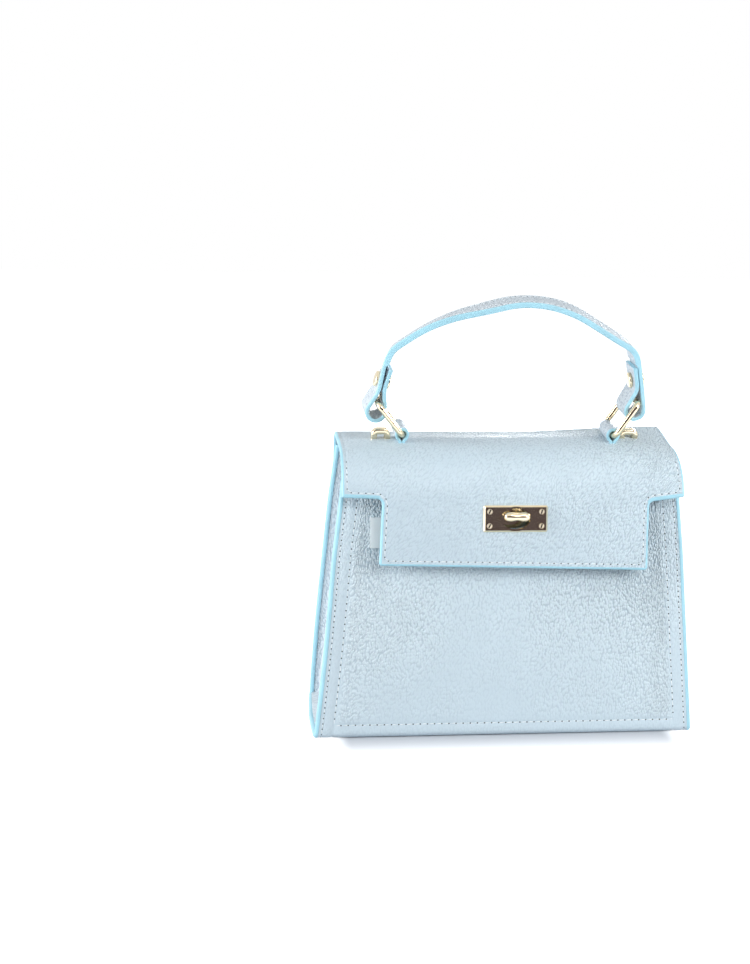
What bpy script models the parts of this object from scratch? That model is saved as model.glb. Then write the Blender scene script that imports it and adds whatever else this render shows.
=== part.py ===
"""Small structured leather handbag: flap, turn lock, and a top handle on two metal rings.

+X right, +Y back, +Z up. The origin is the middle of the underside of the base.
"""

import math

import bmesh
import bpy
from mathutils import Matrix, Vector

MM = 0.001

# Body
BASE_WIDTH = 230 * MM
TOP_WIDTH = 204 * MM
BASE_DEPTH = 82 * MM
TOP_DEPTH = 50 * MM
BACK_HEIGHT = 170 * MM
FRONT_DROP = 13 * MM
FRONT_HEIGHT = BACK_HEIGHT - FRONT_DROP
BASE_EDGE_RADIUS = 4 * MM
INNER_BEND_RADIUS = 0.7 * MM
LEATHER = 1.6 * MM
BOARD = 2.4 * MM
LINING = 0.6 * MM
FLANGE = 8 * MM
GUSSET_LEATHER = 1.4 * MM
GUSSET_FOLD = 26 * MM
GUSSET_TOP_DIP = 3 * MM
LINING_MARGIN = 5.5 * MM
BOARD_END_MARGIN = 3 * MM
LINING_TOP_DROP = 2 * MM

# Flap
FLAP_OVERHANG = 1 * MM
FLAP_WIDTH = TOP_WIDTH + 2 * FLAP_OVERHANG
NOTCH_WIDTH = 21.5 * MM
TONGUE_WIDTH = FLAP_WIDTH - 2 * NOTCH_WIDTH
WING_REACH = 9.4 * MM
WING_BOTTOM_HEIGHT = FRONT_HEIGHT - WING_REACH
TONGUE_LENGTH = 41.6 * MM
TONGUE_BOTTOM_HEIGHT = WING_BOTTOM_HEIGHT - TONGUE_LENGTH
FLAP_STANDOFF = 10.5 * MM
FLAP_RISE = 10 * MM
FLAP_TOP_HEIGHT = BACK_HEIGHT + FLAP_RISE
FLAP_SLOPE = math.radians(8)
FRONT_FOLD_RADIUS = 30 * MM
BACK_FOLD_RADIUS = 5 * MM
BACK_STRIP_LENGTH = 30 * MM
BACK_STRIP_BOTTOM = BACK_HEIGHT - BACK_STRIP_LENGTH
FLAP_LEATHER = 1.3 * MM
FLAP_BOARD = 0.8 * MM
TONGUE_CORNER = 5 * MM
NOTCH_CORNER = 3.5 * MM
WING_CORNER = 3 * MM
FLAP_BOARD_MARGIN = 7 * MM
FLAP_LINING_MARGIN = 1 * MM

# Lock
LOCK_DROP = 12.5 * MM
LOCK_HEIGHT = WING_BOTTOM_HEIGHT - LOCK_DROP
LOCK_BASE_WIDTH = 28 * MM
LOCK_BASE_HEIGHT = 14 * MM
LOCK_BASE_THICKNESS = 1.2 * MM
COLLAR_RADIUS = 4.6 * MM
COLLAR_TOP = 5 * MM
SHAFT_RADIUS = 2 * MM
KNOB_WIDTH = 15 * MM
KNOB_HEIGHT = 6.8 * MM
KNOB_LENGTH = 5.2 * MM
KNOB_RAISE = 1.7 * MM
KNOB_LOBE_TURN = math.radians(125)
KNOB_TIP_ANGLE = math.radians(75)
KNOB_CLEARANCE = 0.5 * MM
LOCK_BACK_WIDTH = 30 * MM
LOCK_BACK_HEIGHT = 16 * MM
LOCK_BACK_THICKNESS = 0.7 * MM
KNOB_WASHER_RADIUS = 4.2 * MM
KNOB_WASHER_THICKNESS = 0.5 * MM
LOCK_SCREW_SPACING = 20 * MM
LOCK_SCREW_RADIUS = 0.9 * MM
LOCK_SCREW_HEAD_RADIUS = 1.6 * MM
LOCK_SCREW_HEAD = 0.8 * MM
LOCK_WINDOW_MARGIN = 1 * MM

# Lock plate on the flap
PLATE_WIDTH = 39 * MM
PLATE_HEIGHT = 16 * MM
PLATE_THICKNESS = 1.8 * MM
PLATE_CORNER = 1.2 * MM
PLATE_BEVEL = 1 * MM
SLOT_WIDTH = 17.6 * MM
SLOT_HEIGHT = 12.6 * MM
RIM_WIDTH = 1.1 * MM
RIM_RISE = 0.6 * MM
LEATHER_HOLE_MARGIN = 1.4 * MM
PLATE_SCREW_INSET = 3.7 * MM
PLATE_SCREW_RADIUS = 0.9 * MM
PLATE_SCREW_HEAD_RADIUS = 1.6 * MM
PLATE_SCREW_HEAD = 0.8 * MM
SCREW_SLOT_WIDTH = 0.45 * MM
SCREW_SLOT_DEPTH = 0.35 * MM
PLATE_SCREW_TURN = math.radians(95)
BACKING_MARGIN = 1.5 * MM

# Rings and their leather tabs on the flap
TAB_SPACING = 131 * MM
TAB_LOOP_HEIGHT = 6.8 * MM
TAB_WIDTH = 19.6 * MM
TAB_LEATHER = 2 * MM
TAB_BORE_RADIUS = 2.3 * MM
TAB_NECK = 4 * MM
TAB_FOOT_LENGTH = 10 * MM
TAB_FOOT_WIDTH = 22 * MM
RING_WIRE_RADIUS = 1.8 * MM
RING_PITCH = 24.8 * MM
RING_SIDE_CLEARANCE = 0.9 * MM
RING_CORNER = 4 * MM
RING_LEAN = math.radians(35.2)
RING_ROCK = math.radians(3.2)

# Shoulder-strap lugs on the flap
LUG_LENGTH = 11.8 * MM
LUG_HEIGHT = 7.4 * MM
LUG_DEPTH = 5 * MM
LUG_BAR = 2 * MM
LUG_CORNER = 3 * MM
LUG_PIN_RADIUS = 0.8 * MM
LUG_BACKING_LENGTH = 13 * MM
TAB_TO_LUG_GAP = 0.5 * MM
LUG_SPACING = TAB_SPACING + TAB_FOOT_LENGTH + LUG_BACKING_LENGTH + 2 * TAB_TO_LUG_GAP
LUG_BACKING_WIDTH = 7 * MM
FOOT_WINDOW_MARGIN = 1 * MM

# Handle
HANDLE_WIDTH = 20 * MM
HANDLE_RISE = 59.8 * MM
HANDLE_LEATHER = 2.4 * MM
HANDLE_INNER_LEATHER = 0.8 * MM
RIGHT_LEG_LEAN = math.radians(11.2)
LEFT_LEG_LEAN = math.radians(17.2)
LEG_LENGTH = 32 * MM
SHOULDER_RADIUS = 13 * MM
ARCH_REACH_SHARES = (0.2406, 0.093, 0.2263)
ARCH_CORNER_SHARES = ((0.374, 0.995), (0.024, 1.0), (-0.556, 0.814))
LOOP_BORE_RADIUS = 4.4 * MM
LOOP_DROP = 5.4 * MM
LOOP_TOP = 7 * MM
LOOP_OPENING = math.radians(20)
LEFT_LOOP_LEAN = math.radians(12)
RIGHT_LOOP_LEAN = math.radians(-11)
TAIL_LENGTH = 22 * MM
HANDLE_SCREW_HEIGHT = 12.5 * MM
HANDLE_SCREW_HEAD_RADIUS = 4.8 * MM
HANDLE_SCREW_HEAD = 2 * MM
HANDLE_SCREW_DOME = 0.7 * MM
BARREL_RADIUS = 2.5 * MM
BARREL_BORE_RADIUS = 1.8 * MM
CAP_SHAFT_RADIUS = 1.5 * MM
CAP_SLOT_WIDTH = 1 * MM
CAP_SLOT_DEPTH = 0.6 * MM

# Blank tag lying on the front panel, half behind the tongue
TAG_WIDTH = 16 * MM
TAG_HEIGHT = 18.5 * MM
TAG_THICKNESS = 0.8 * MM
TAG_SHOWN = 4.5 * MM
TAG_DROP = 9.5 * MM

# Shared values
GAP = 0.3 * MM
FIT = 0.2 * MM
OVERRUN = 20 * MM
WELD = 0.001 * MM
CREASE_SNAP = 0.05 * MM
ARC_STEPS = 7
CORNER_STEPS = 4
WIRE_RESOLUTION = 3
HOLE_SEGMENTS = 12
ROUND_SEGMENTS = 20
SMOOTH_ANGLE = math.radians(40)

# Colours are linear RGB
LEATHER_BLUE = (0.584, 0.708, 0.783)
EDGE_BLUE = (0.402, 0.716, 0.871)
LINING_BLUE = (0.50, 0.60, 0.66)
PALE_GOLD = (0.70, 0.53, 0.30)
BOARD_GREY = (0.35, 0.33, 0.30)
STEEL_GREY = (0.6, 0.6, 0.6)


def clear_scene():
    for obj in list(bpy.data.objects):
        bpy.data.objects.remove(obj, do_unlink=True)


def make_material(name, colour, roughness, metallic=0.0):
    material = bpy.data.materials.new(name)
    material.use_nodes = True
    shader = material.node_tree.nodes["Principled BSDF"]
    shader.inputs["Base Color"].default_value = (*colour, 1.0)
    shader.inputs["Roughness"].default_value = roughness
    shader.inputs["Metallic"].default_value = metallic
    material.diffuse_color = (*colour, 1.0)
    return material


def make_pivot(name, location, parent=None):
    pivot = bpy.data.objects.new(name, None)
    bpy.context.scene.collection.objects.link(pivot)
    pivot.empty_display_size = OVERRUN
    pivot.location = location
    if parent:
        hang(pivot, parent)
    return pivot


def hang(obj, pivot):
    """Parents an object without moving it: every pivot has a location and no rotation."""
    obj.parent = pivot
    obj.matrix_parent_inverse = Matrix.Translation(pivot.location).inverted()


def make_object(name, bm, material, pivot=None, frame=Matrix.Identity(4)):
    bm.normal_update()
    mesh = bpy.data.meshes.new(name)
    bm.to_mesh(mesh)
    bm.free()
    mesh.shade_smooth()
    mesh.set_sharp_from_angle(angle=SMOOTH_ANGLE)
    obj = bpy.data.objects.new(name, mesh)
    bpy.context.scene.collection.objects.link(obj)
    obj.matrix_basis = frame
    if material:
        mesh.materials.append(material)
    if pivot:
        hang(obj, pivot)
    return obj


def as_cutter(obj):
    obj.hide_render = True
    obj.display_type = "WIRE"
    return obj


def combine(obj, other, operation):
    modifier = obj.modifiers.new(other.name, "BOOLEAN")
    modifier.operation = operation
    modifier.solver = "EXACT"
    modifier.object = as_cutter(other)


def cut(obj, *cutters):
    for cutter in cutters:
        combine(obj, cutter, "DIFFERENCE")


def join(obj, *others):
    for other in others:
        combine(obj, other, "UNION")


# Outlines and paths, as 2D points


def turn_of(before, corner, after):
    """Unit directions into and out of a corner, and the angle between them."""
    arriving = (corner - before).normalized()
    leaving = (after - corner).normalized()
    return arriving, leaving, arriving.angle(leaving, 0.0)


def fillet(before, corner, after, radius, steps):
    arriving, leaving, angle = turn_of(before, corner, after)
    if angle < math.radians(1) or radius <= 0:
        return [corner]
    reach = radius * math.tan(angle / 2)
    start = corner - arriving * reach
    side = leaving - arriving * leaving.dot(arriving)
    centre = start + side.normalized() * radius
    spoke = start - centre
    sign = 1 if arriving.cross(leaving) > 0 else -1
    turns = [Matrix.Rotation(sign * angle * i / steps, 2) for i in range(steps + 1)]
    return [centre + turn @ spoke for turn in turns]


def rounded(corners, radii, steps, closed=False):
    """The corners as 2D vectors, each replaced by an arc of its radius."""
    points = [Vector(corner) for corner in corners]
    found = []
    for i, point in enumerate(points):
        if not closed and i in (0, len(points) - 1):
            found.append(point)
            continue
        after = points[(i + 1) % len(points)]
        found += fillet(points[i - 1], point, after, radii[i], steps)
    return found


def offset(path, distance):
    """The path moved to its left by a distance, with mitred corners."""
    moved = []
    for i, point in enumerate(path):
        before = path[max(i - 1, 0)]
        after = path[min(i + 1, len(path) - 1)]
        arriving = (point - before if i else after - point).normalized()
        leaving = (after - point if i < len(path) - 1 else point - before).normalized()
        across = (arriving + leaving).normalized()
        left = Vector((-across.y, across.x))
        moved.append(point + left * distance / across.dot(arriving))
    return moved


def lengths_along(path):
    lengths = [0.0]
    for before, after in zip(path, path[1:]):
        lengths.append(lengths[-1] + (after - before).length)
    return lengths


def point_along(path, length):
    lengths = lengths_along(path)
    last = len(path) - 2
    i = next((k for k in range(last + 1) if length <= lengths[k + 1]), last)
    share = (length - lengths[i]) / (lengths[i + 1] - lengths[i])
    return path[i].lerp(path[i + 1], share)


def part_of(path, start, end):
    """The stretch of a path between two lengths along it."""
    inner = [p for p, length in zip(path, lengths_along(path)) if start < length < end]
    return [point_along(path, start), *inner, point_along(path, end)]


def rectangle(width, height, radius, steps=CORNER_STEPS):
    x = width / 2
    y = height / 2
    corners = ((-x, -y), (x, -y), (x, y), (-x, y))
    return rounded(corners, (radius,) * 4, steps, closed=True)


def oval(width, height, segments=2 * ROUND_SEGMENTS):
    angles = [2 * math.pi * i / segments for i in range(segments)]
    return [Vector((width / 2 * math.cos(a), height / 2 * math.sin(a))) for a in angles]


# Solids


def prism(name, outline, low, high, material=None, pivot=None, frame=Matrix.Identity(4)):
    """A 2D outline, anticlockwise, raised along local Z from low to high."""
    bm = bmesh.new()
    face = bm.faces.new([bm.verts.new((p.x, p.y, low)) for p in outline])
    top = bmesh.ops.extrude_face_region(bm, geom=[face])
    raised = [v for v in top["geom"] if isinstance(v, bmesh.types.BMVert)]
    bmesh.ops.translate(bm, verts=raised, vec=(0, 0, high - low))
    bmesh.ops.recalc_face_normals(bm, faces=bm.faces[:])
    return make_object(name, bm, material, pivot, frame)


def turned(
    name, profile, material=None, pivot=None, frame=Matrix.Identity(4), segments=ROUND_SEGMENTS,
):
    """A closed profile of (radius, height) points, spun about local Z."""
    bm = bmesh.new()
    points = [bm.verts.new((radius, 0, height)) for radius, height in profile]
    edges = [bm.edges.new(pair) for pair in zip(points, points[1:])]
    if profile[0][0] > 0:
        edges.append(bm.edges.new((points[-1], points[0])))
    bmesh.ops.spin(
        bm, geom=points + edges, cent=(0, 0, 0), axis=(0, 0, 1),
        angle=2 * math.pi, steps=segments, use_merge=True,
    )
    bmesh.ops.remove_doubles(bm, verts=bm.verts[:], dist=WELD)
    bmesh.ops.recalc_face_normals(bm, faces=bm.faces[:])
    return make_object(name, bm, material, pivot, frame)


def rod(name, radius, low, high, frame, segments=HOLE_SEGMENTS, material=None, pivot=None):
    profile = ((0, low), (radius, low), (radius, high), (0, high))
    return turned(name, profile, material, pivot, frame, segments)


def sheet(name, outline, path, place, thickness, material, pivot=None):
    """A leather sheet: an outline of (across, along) points, bent along a path, with its
    thickness on the inner side. place(across, point) gives the world position."""
    bm = bmesh.new()
    bm.faces.new([bm.verts.new((p[0], p[1], 0)) for p in outline])
    for length in lengths_along(path)[1:-1]:
        geometry = bm.verts[:] + bm.edges[:] + bm.faces[:]
        bmesh.ops.bisect_plane(
            bm, geom=geometry, dist=CREASE_SNAP,
            plane_co=(0, length, 0), plane_no=(0, 1, 0),
        )
    for vertex in bm.verts:
        vertex.co = place(vertex.co.x, point_along(path, vertex.co.y))
    obj = make_object(name, bm, material, pivot)
    solidify = obj.modifiers.new("thickness", "SOLIDIFY")
    solidify.thickness = thickness
    solidify.offset = -1
    solidify.use_even_offset = True
    return obj


def across_body(across, point):
    return Vector((across, point.x, point.y))


def strip_outline(path, half_width_at):
    """The outline of a sheet whose half width depends on the height of each path point."""
    rows = list(zip(lengths_along(path), path))
    right = [(half_width_at(point.y), length) for length, point in rows]
    left = [(-half_width_at(point.y), length) for length, point in reversed(rows)]
    return right + left


# Body sizes that follow from the ones above


def half_width(height):
    return (BASE_WIDTH - (BASE_WIDTH - TOP_WIDTH) * height / BACK_HEIGHT) / 2


def half_depth(height):
    return (BASE_DEPTH - (BASE_DEPTH - TOP_DEPTH) * height / BACK_HEIGHT) / 2


WALL_TILT = math.atan2((BASE_DEPTH - TOP_DEPTH) / 2, BACK_HEIGHT)
BODY_STACK = LEATHER + GAP + BOARD + GAP
FLAP_STACK = FLAP_LEATHER + GAP + FLAP_BOARD + GAP


def body_path(inset=0.0, top_drop=0.0):
    """Down the back, under the base and up the front, moved inwards by an inset."""
    back = BACK_HEIGHT - top_drop
    front = FRONT_HEIGHT - top_drop
    corners = (
        (half_depth(back), back), (half_depth(0), 0),
        (-half_depth(0), 0), (-half_depth(front), front),
    )
    bend = max(BASE_EDGE_RADIUS - inset, INNER_BEND_RADIUS)
    moved = offset([Vector(corner) for corner in corners], -inset)
    return rounded(moved, (0, bend, bend, 0), CORNER_STEPS)


def lining_half_width(height):
    return half_width(height) - FLANGE - LINING_MARGIN


def make_body(leather, lining, board):
    path = body_path()
    sheet("body_wrap", strip_outline(path, half_width), path, across_body, LEATHER, leather)
    inner = body_path(BODY_STACK, LINING_TOP_DROP)
    outline = strip_outline(inner, lining_half_width)
    sheet("body_lining", outline, inner, across_body, LINING, lining)
    inset = LEATHER + GAP
    stiff = body_path(inset, LINING_TOP_DROP)
    low = BASE_EDGE_RADIUS + BOARD_END_MARGIN
    walls = (("back_board", stiff[0], stiff[1]), ("front_board", stiff[-1], stiff[-2]))
    for name, top, foot in walls:
        run = (foot - top).normalized()
        end = top + run * (top.y - low) / -run.y
        wall = [top, end] if name == "back_board" else [end, top]
        outline = strip_outline(wall, lining_half_width)
        sheet(name, outline, wall, across_body, BOARD, board)
    half = half_depth(0) - low
    flat = [Vector((half, inset)), Vector((-half, inset))]
    outline = strip_outline(flat, lining_half_width)
    sheet("base_board", outline, flat, across_body, BOARD, board)


def make_gusset(name, side, leather):
    """A panel folded inwards in a V, with a flange along its front, bottom and back edges."""
    path = body_path(LEATHER + GAP + GUSSET_LEATHER)
    rows = len(path) // 2
    column_shares = (0, 0.25, 0.5, 0.75, 1)
    bm = bmesh.new()
    grid = []
    for i in range(rows):
        front = path[-1 - i]
        back = path[i]
        row = []
        for share in column_shares:
            point = front.lerp(back, share)
            folded = 1 - abs(2 * share - 1)
            rise = point.y / BACK_HEIGHT
            dip = folded * GUSSET_TOP_DIP * rise
            x = half_width(point.y) - FLANGE - folded * GUSSET_FOLD * rise * (i < rows - 1)
            row.append(bm.verts.new((side * x, point.x, point.y - dip)))
        grid.append(row)
    for upper, lower in zip(grid, grid[1:]):
        for k in range(len(column_shares) - 1):
            bm.faces.new((lower[k], lower[k + 1], upper[k + 1], upper[k]))
    edge = [row[0] for row in grid] + grid[-1][1:-1] + [row[-1] for row in reversed(grid)]
    outer = [bm.verts.new((side * half_width(v.co.z), v.co.y, v.co.z)) for v in edge]
    for k in range(len(edge) - 1):
        bm.faces.new((edge[k], outer[k], outer[k + 1], edge[k + 1]))
    if side < 0:
        bmesh.ops.reverse_faces(bm, faces=bm.faces[:])
    obj = make_object(name, bm, leather)
    solidify = obj.modifiers.new("thickness", "SOLIDIFY")
    solidify.thickness = GUSSET_LEATHER
    solidify.offset = -1
    solidify.use_even_offset = True


# Frames and paths of the flap


def wall_point(height, out):
    """A point at a height on the front wall, then outwards at right angles, as (y, z)."""
    normal = Vector((-math.cos(WALL_TILT), math.sin(WALL_TILT)))
    return Vector((-half_depth(height), height)) + normal * out


def flap_path(inset=0.0):
    """The flap's outer face, from the tongue's bottom over the top to the back strip."""
    tongue = wall_point(TONGUE_BOTTOM_HEIGHT, FLAP_STANDOFF)
    up = Vector((math.sin(WALL_TILT), math.cos(WALL_TILT)))
    out = GAP + FLAP_LEATHER
    back_normal = Vector((math.cos(WALL_TILT), math.sin(WALL_TILT)))
    back_foot = Vector((half_depth(BACK_STRIP_BOTTOM), BACK_STRIP_BOTTOM)) + back_normal * out
    rise = FLAP_TOP_HEIGHT - back_foot.y
    back_top = back_foot + Vector((-math.tan(WALL_TILT) * rise, rise))
    top_run = Vector((-math.cos(FLAP_SLOPE), -math.sin(FLAP_SLOPE)))
    to_top = back_top - tongue
    length = to_top.cross(top_run) / up.cross(top_run)
    front_top = tongue + up * length
    radii = (0, FRONT_FOLD_RADIUS, BACK_FOLD_RADIUS, 0)
    path = rounded((tongue, front_top, back_top, back_foot), radii, ARC_STEPS)
    return offset(path, -inset)


def fold_lengths(path):
    """How far along the path the middles of its front and back folds lie."""
    lengths = lengths_along(path)
    middle = ARC_STEPS / 2
    front = 1 + int(middle)
    back = front + ARC_STEPS + 1
    return [(lengths[i] + lengths[i + 1]) / 2 for i in (front, back)]


def frame_of(origin, up):
    """Local X to the right, local Y along up (a 2D direction), and local Z facing out."""
    frame = Matrix((
        (1, 0, 0, 0),
        (0, up.x, -up.y, origin.x),
        (0, up.y, up.x, origin.y),
        (0, 0, 0, 1),
    ))
    return frame


def lock_frame():
    up = Vector((math.sin(WALL_TILT), math.cos(WALL_TILT)))
    return frame_of(wall_point(LOCK_HEIGHT, 0), up)


def top_frame():
    """On the flap's top face, above the middle of the bag."""
    path = flap_path()
    start = path[1 + ARC_STEPS]
    up = (path[2 + ARC_STEPS] - start).normalized()
    return frame_of(start + up * (-start.x / up.x), up)


def fold_pivots():
    path = flap_path()
    front, back = fold_lengths(path)
    ends = [point_along(path, length) for length in (front, back)]
    return [Vector((0, end.x, end.y)) for end in ends]


def tongue_outline(margin, wing_height, end):
    """The part of the flap in front of the fold: tongue, two notches and two wings."""
    tongue = TONGUE_WIDTH / 2 - margin
    wing = FLAP_WIDTH / 2 - margin
    low = margin
    notch = wing_height + margin
    corners = (
        (-tongue, low), (tongue, low), (tongue, notch), (wing, notch),
        (wing, end), (-wing, end), (-wing, notch), (-tongue, notch),
    )
    radii = (
        TONGUE_CORNER, TONGUE_CORNER, NOTCH_CORNER, WING_CORNER,
        0, 0, WING_CORNER, NOTCH_CORNER,
    )
    return [tuple(p) for p in rounded(corners, radii, CORNER_STEPS, closed=True)]


def band_outline(half, length):
    return [(-half, 0), (half, 0), (half, length), (-half, length)]


def side_named(side):
    return "right" if side > 0 else "left"


def make_flap_front(leather, lining, board, gold, pivot, cutters):
    wing = (WING_BOTTOM_HEIGHT - TONGUE_BOTTOM_HEIGHT) / math.cos(WALL_TILT)
    layers = (
        ("flap_front_leather", 0, FLAP_LEATHER, leather, 0),
        ("flap_front_lining", FLAP_STACK, LINING, lining, FLAP_LINING_MARGIN),
    )
    for name, inset, thickness, material, margin in layers:
        path = flap_path(inset)
        end = fold_lengths(path)[0] - GAP / 2
        outline = tongue_outline(margin, wing, end)
        obj = sheet(name, outline, part_of(path, 0, end), across_body, thickness, material, pivot)
        cut(obj, cutters["slot"])
        if name == "flap_front_leather":
            cut(obj, *cutters["plate_screws"])
    half = TONGUE_WIDTH / 2 - FLAP_BOARD_MARGIN
    path = flap_path(FLAP_LEATHER + GAP)
    low = FLAP_BOARD_MARGIN
    high = lengths_along(path)[1] - GAP
    flat = part_of(path, low, high)
    outline = band_outline(half, high - low)
    obj = sheet("flap_front_board", outline, flat, across_body, FLAP_BOARD, board, pivot)
    cut(obj, cutters["backing"])
    frame = lock_frame()
    high = FLAP_STANDOFF - FLAP_LEATHER - GAP
    outline = rectangle(PLATE_WIDTH + BACKING_MARGIN, PLATE_HEIGHT + BACKING_MARGIN, PLATE_CORNER)
    backing = prism("lock_plate_backing", outline, high - FLAP_BOARD, high, gold, pivot, frame)
    cut(backing, cutters["slot"], *cutters["plate_screws"])


def make_lock_plate(gold, pivot, cutters):
    frame = lock_frame()
    low = FLAP_STANDOFF + FIT
    high = low + PLATE_THICKNESS
    outline = rectangle(PLATE_WIDTH, PLATE_HEIGHT, PLATE_CORNER)
    plate = prism("lock_plate", outline, low, high, gold, pivot, frame)
    bevel = plate.modifiers.new("bevelled face", "BEVEL")
    bevel.width = PLATE_BEVEL
    bevel.segments = 1
    bevel.limit_method = "WEIGHT"
    weights = plate.data.attributes.new("bevel_weight_edge", "FLOAT", "EDGE")
    for edge in plate.data.edges:
        ends = [plate.data.vertices[i].co.z for i in edge.vertices]
        weights.data[edge.index].value = float(min(ends) > (low + high) / 2)
    rim_outline = oval(SLOT_WIDTH + 2 * RIM_WIDTH, SLOT_HEIGHT + 2 * RIM_WIDTH)
    rim_low = low + PLATE_THICKNESS / 2
    rim = prism("lock_plate_rim", rim_outline, rim_low, high + RIM_RISE, frame=frame)
    join(plate, rim)
    opening = oval(SLOT_WIDTH, SLOT_HEIGHT)
    slot = prism("lock_plate_slot", opening, low - OVERRUN, high + OVERRUN, frame=frame)
    cut(plate, slot)
    head_low = high - PLATE_SCREW_HEAD
    x = PLATE_WIDTH / 2 - PLATE_SCREW_INSET
    y = PLATE_HEIGHT / 2 - PLATE_SCREW_INSET
    for label, sx, sy in (("1", -1, 1), ("2", 1, 1), ("3", -1, -1), ("4", 1, -1)):
        place = frame @ Matrix.Translation((sx * x, sy * y, 0))
        sink_name = "plate_sink_" + label
        sink = rod(sink_name, PLATE_SCREW_HEAD_RADIUS + FIT, head_low - FIT, high + OVERRUN, place)
        hole_name = "plate_hole_" + label
        hole = rod(hole_name, PLATE_SCREW_RADIUS + FIT, low - OVERRUN, high + OVERRUN, place)
        cut(plate, sink, hole)
        cutters["plate_screws"].append(hole)
        tip = FLAP_STANDOFF - FLAP_LEATHER - GAP - FLAP_BOARD
        make_screw(
            "plate_screw_" + label, PLATE_SCREW_RADIUS, PLATE_SCREW_HEAD_RADIUS,
            (tip, head_low, high), gold, pivot, place @ Matrix.Rotation(PLATE_SCREW_TURN, 4, "Z"),
        )


def make_screw(name, radius, head_radius, heights, material, pivot, frame):
    tip, seat, top = heights
    profile = (
        (0, tip), (radius, tip), (radius, seat),
        (head_radius, seat), (head_radius, top), (0, top),
    )
    screw = turned(name, profile, material, pivot, frame, HOLE_SEGMENTS)
    outline = rectangle(OVERRUN, SCREW_SLOT_WIDTH, 0)
    cut(screw, prism(name + "_slot", outline, top - SCREW_SLOT_DEPTH, top + OVERRUN, frame=frame))


def lock_cutters():
    frame = lock_frame()
    margin = 2 * LEATHER_HOLE_MARGIN
    outline = oval(SLOT_WIDTH + margin, SLOT_HEIGHT + margin)
    slot = prism("leather_slot", outline, COLLAR_TOP, FLAP_STANDOFF + OVERRUN, frame=frame)
    width = PLATE_WIDTH + BACKING_MARGIN + 2 * GAP
    height = PLATE_HEIGHT + BACKING_MARGIN + 2 * GAP
    outline = rectangle(width, height, PLATE_CORNER)
    backing = prism("backing_window", outline, COLLAR_TOP, FLAP_STANDOFF + OVERRUN, frame=frame)
    return {"slot": slot, "backing": backing, "plate_screws": []}


def make_lock(gold, steel, pivot):
    """The half of the lock that stays on the front panel. Local Z is zero on the leather."""
    frame = lock_frame()
    outline = oval(LOCK_BASE_WIDTH, LOCK_BASE_HEIGHT)
    base = prism("lock_base", outline, FIT, FIT + LOCK_BASE_THICKNESS, gold, frame=frame)
    centre = frame @ Matrix.Translation((0, KNOB_RAISE, 0))
    collar_low = FIT + LOCK_BASE_THICKNESS / 2
    collar = rod("lock_collar", COLLAR_RADIUS, collar_low, COLLAR_TOP, centre, ROUND_SEGMENTS)
    join(base, collar)
    bore_radius = SHAFT_RADIUS + FIT
    bore = rod("lock_bore", bore_radius, -OVERRUN, OVERRUN, centre, ROUND_SEGMENTS)
    back_high = -LEATHER - FIT
    back_low = back_high - LOCK_BACK_THICKNESS
    outline = rectangle(LOCK_BACK_WIDTH, LOCK_BACK_HEIGHT, PLATE_CORNER)
    back_plate = prism("lock_back_plate", outline, back_low, back_high, steel, frame=frame)
    wrap = bpy.data.objects["body_wrap"]
    for obj in (base, back_plate, wrap):
        cut(obj, bore)
    for side in (-1, 1):
        name = "lock_screw_" + side_named(side)
        place = frame @ Matrix.Translation((side * LOCK_SCREW_SPACING / 2, 0, 0))
        hole = rod(name + "_hole", LOCK_SCREW_RADIUS + FIT, -OVERRUN, OVERRUN, place)
        for obj in (base, back_plate, wrap):
            cut(obj, hole)
        seat = FIT + LOCK_BASE_THICKNESS + FIT
        heights = (back_low, seat, seat + LOCK_SCREW_HEAD)
        make_screw(name, LOCK_SCREW_RADIUS, LOCK_SCREW_HEAD_RADIUS, heights, steel, None, place)
    margin = 2 * LOCK_WINDOW_MARGIN
    outline = rectangle(LOCK_BACK_WIDTH + margin, LOCK_BACK_HEIGHT + margin, PLATE_CORNER)
    low = -BODY_STACK
    window = prism("lock_window", outline, low, OVERRUN, frame=frame)
    cut(bpy.data.objects["front_board"], window)
    washer_high = back_low - FIT
    washer_low = washer_high - KNOB_WASHER_THICKNESS
    profile = (
        (bore_radius, washer_low), (KNOB_WASHER_RADIUS, washer_low),
        (KNOB_WASHER_RADIUS, washer_high), (bore_radius, washer_high),
    )
    turned("knob_washer", profile, steel, pivot, centre)
    make_knob(gold, pivot, centre, washer_low - FIT)


def lobed_outline(centre, radius):
    """Two round lobes side by side, joined by a narrower waist."""
    steps = 2 * CORNER_STEPS
    turns = [KNOB_LOBE_TURN * (2 * i / steps - 1) for i in range(steps + 1)]
    right = [Vector((centre + radius * math.cos(a), radius * math.sin(a))) for a in turns]
    left = [-point for point in right]
    return right + left


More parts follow.
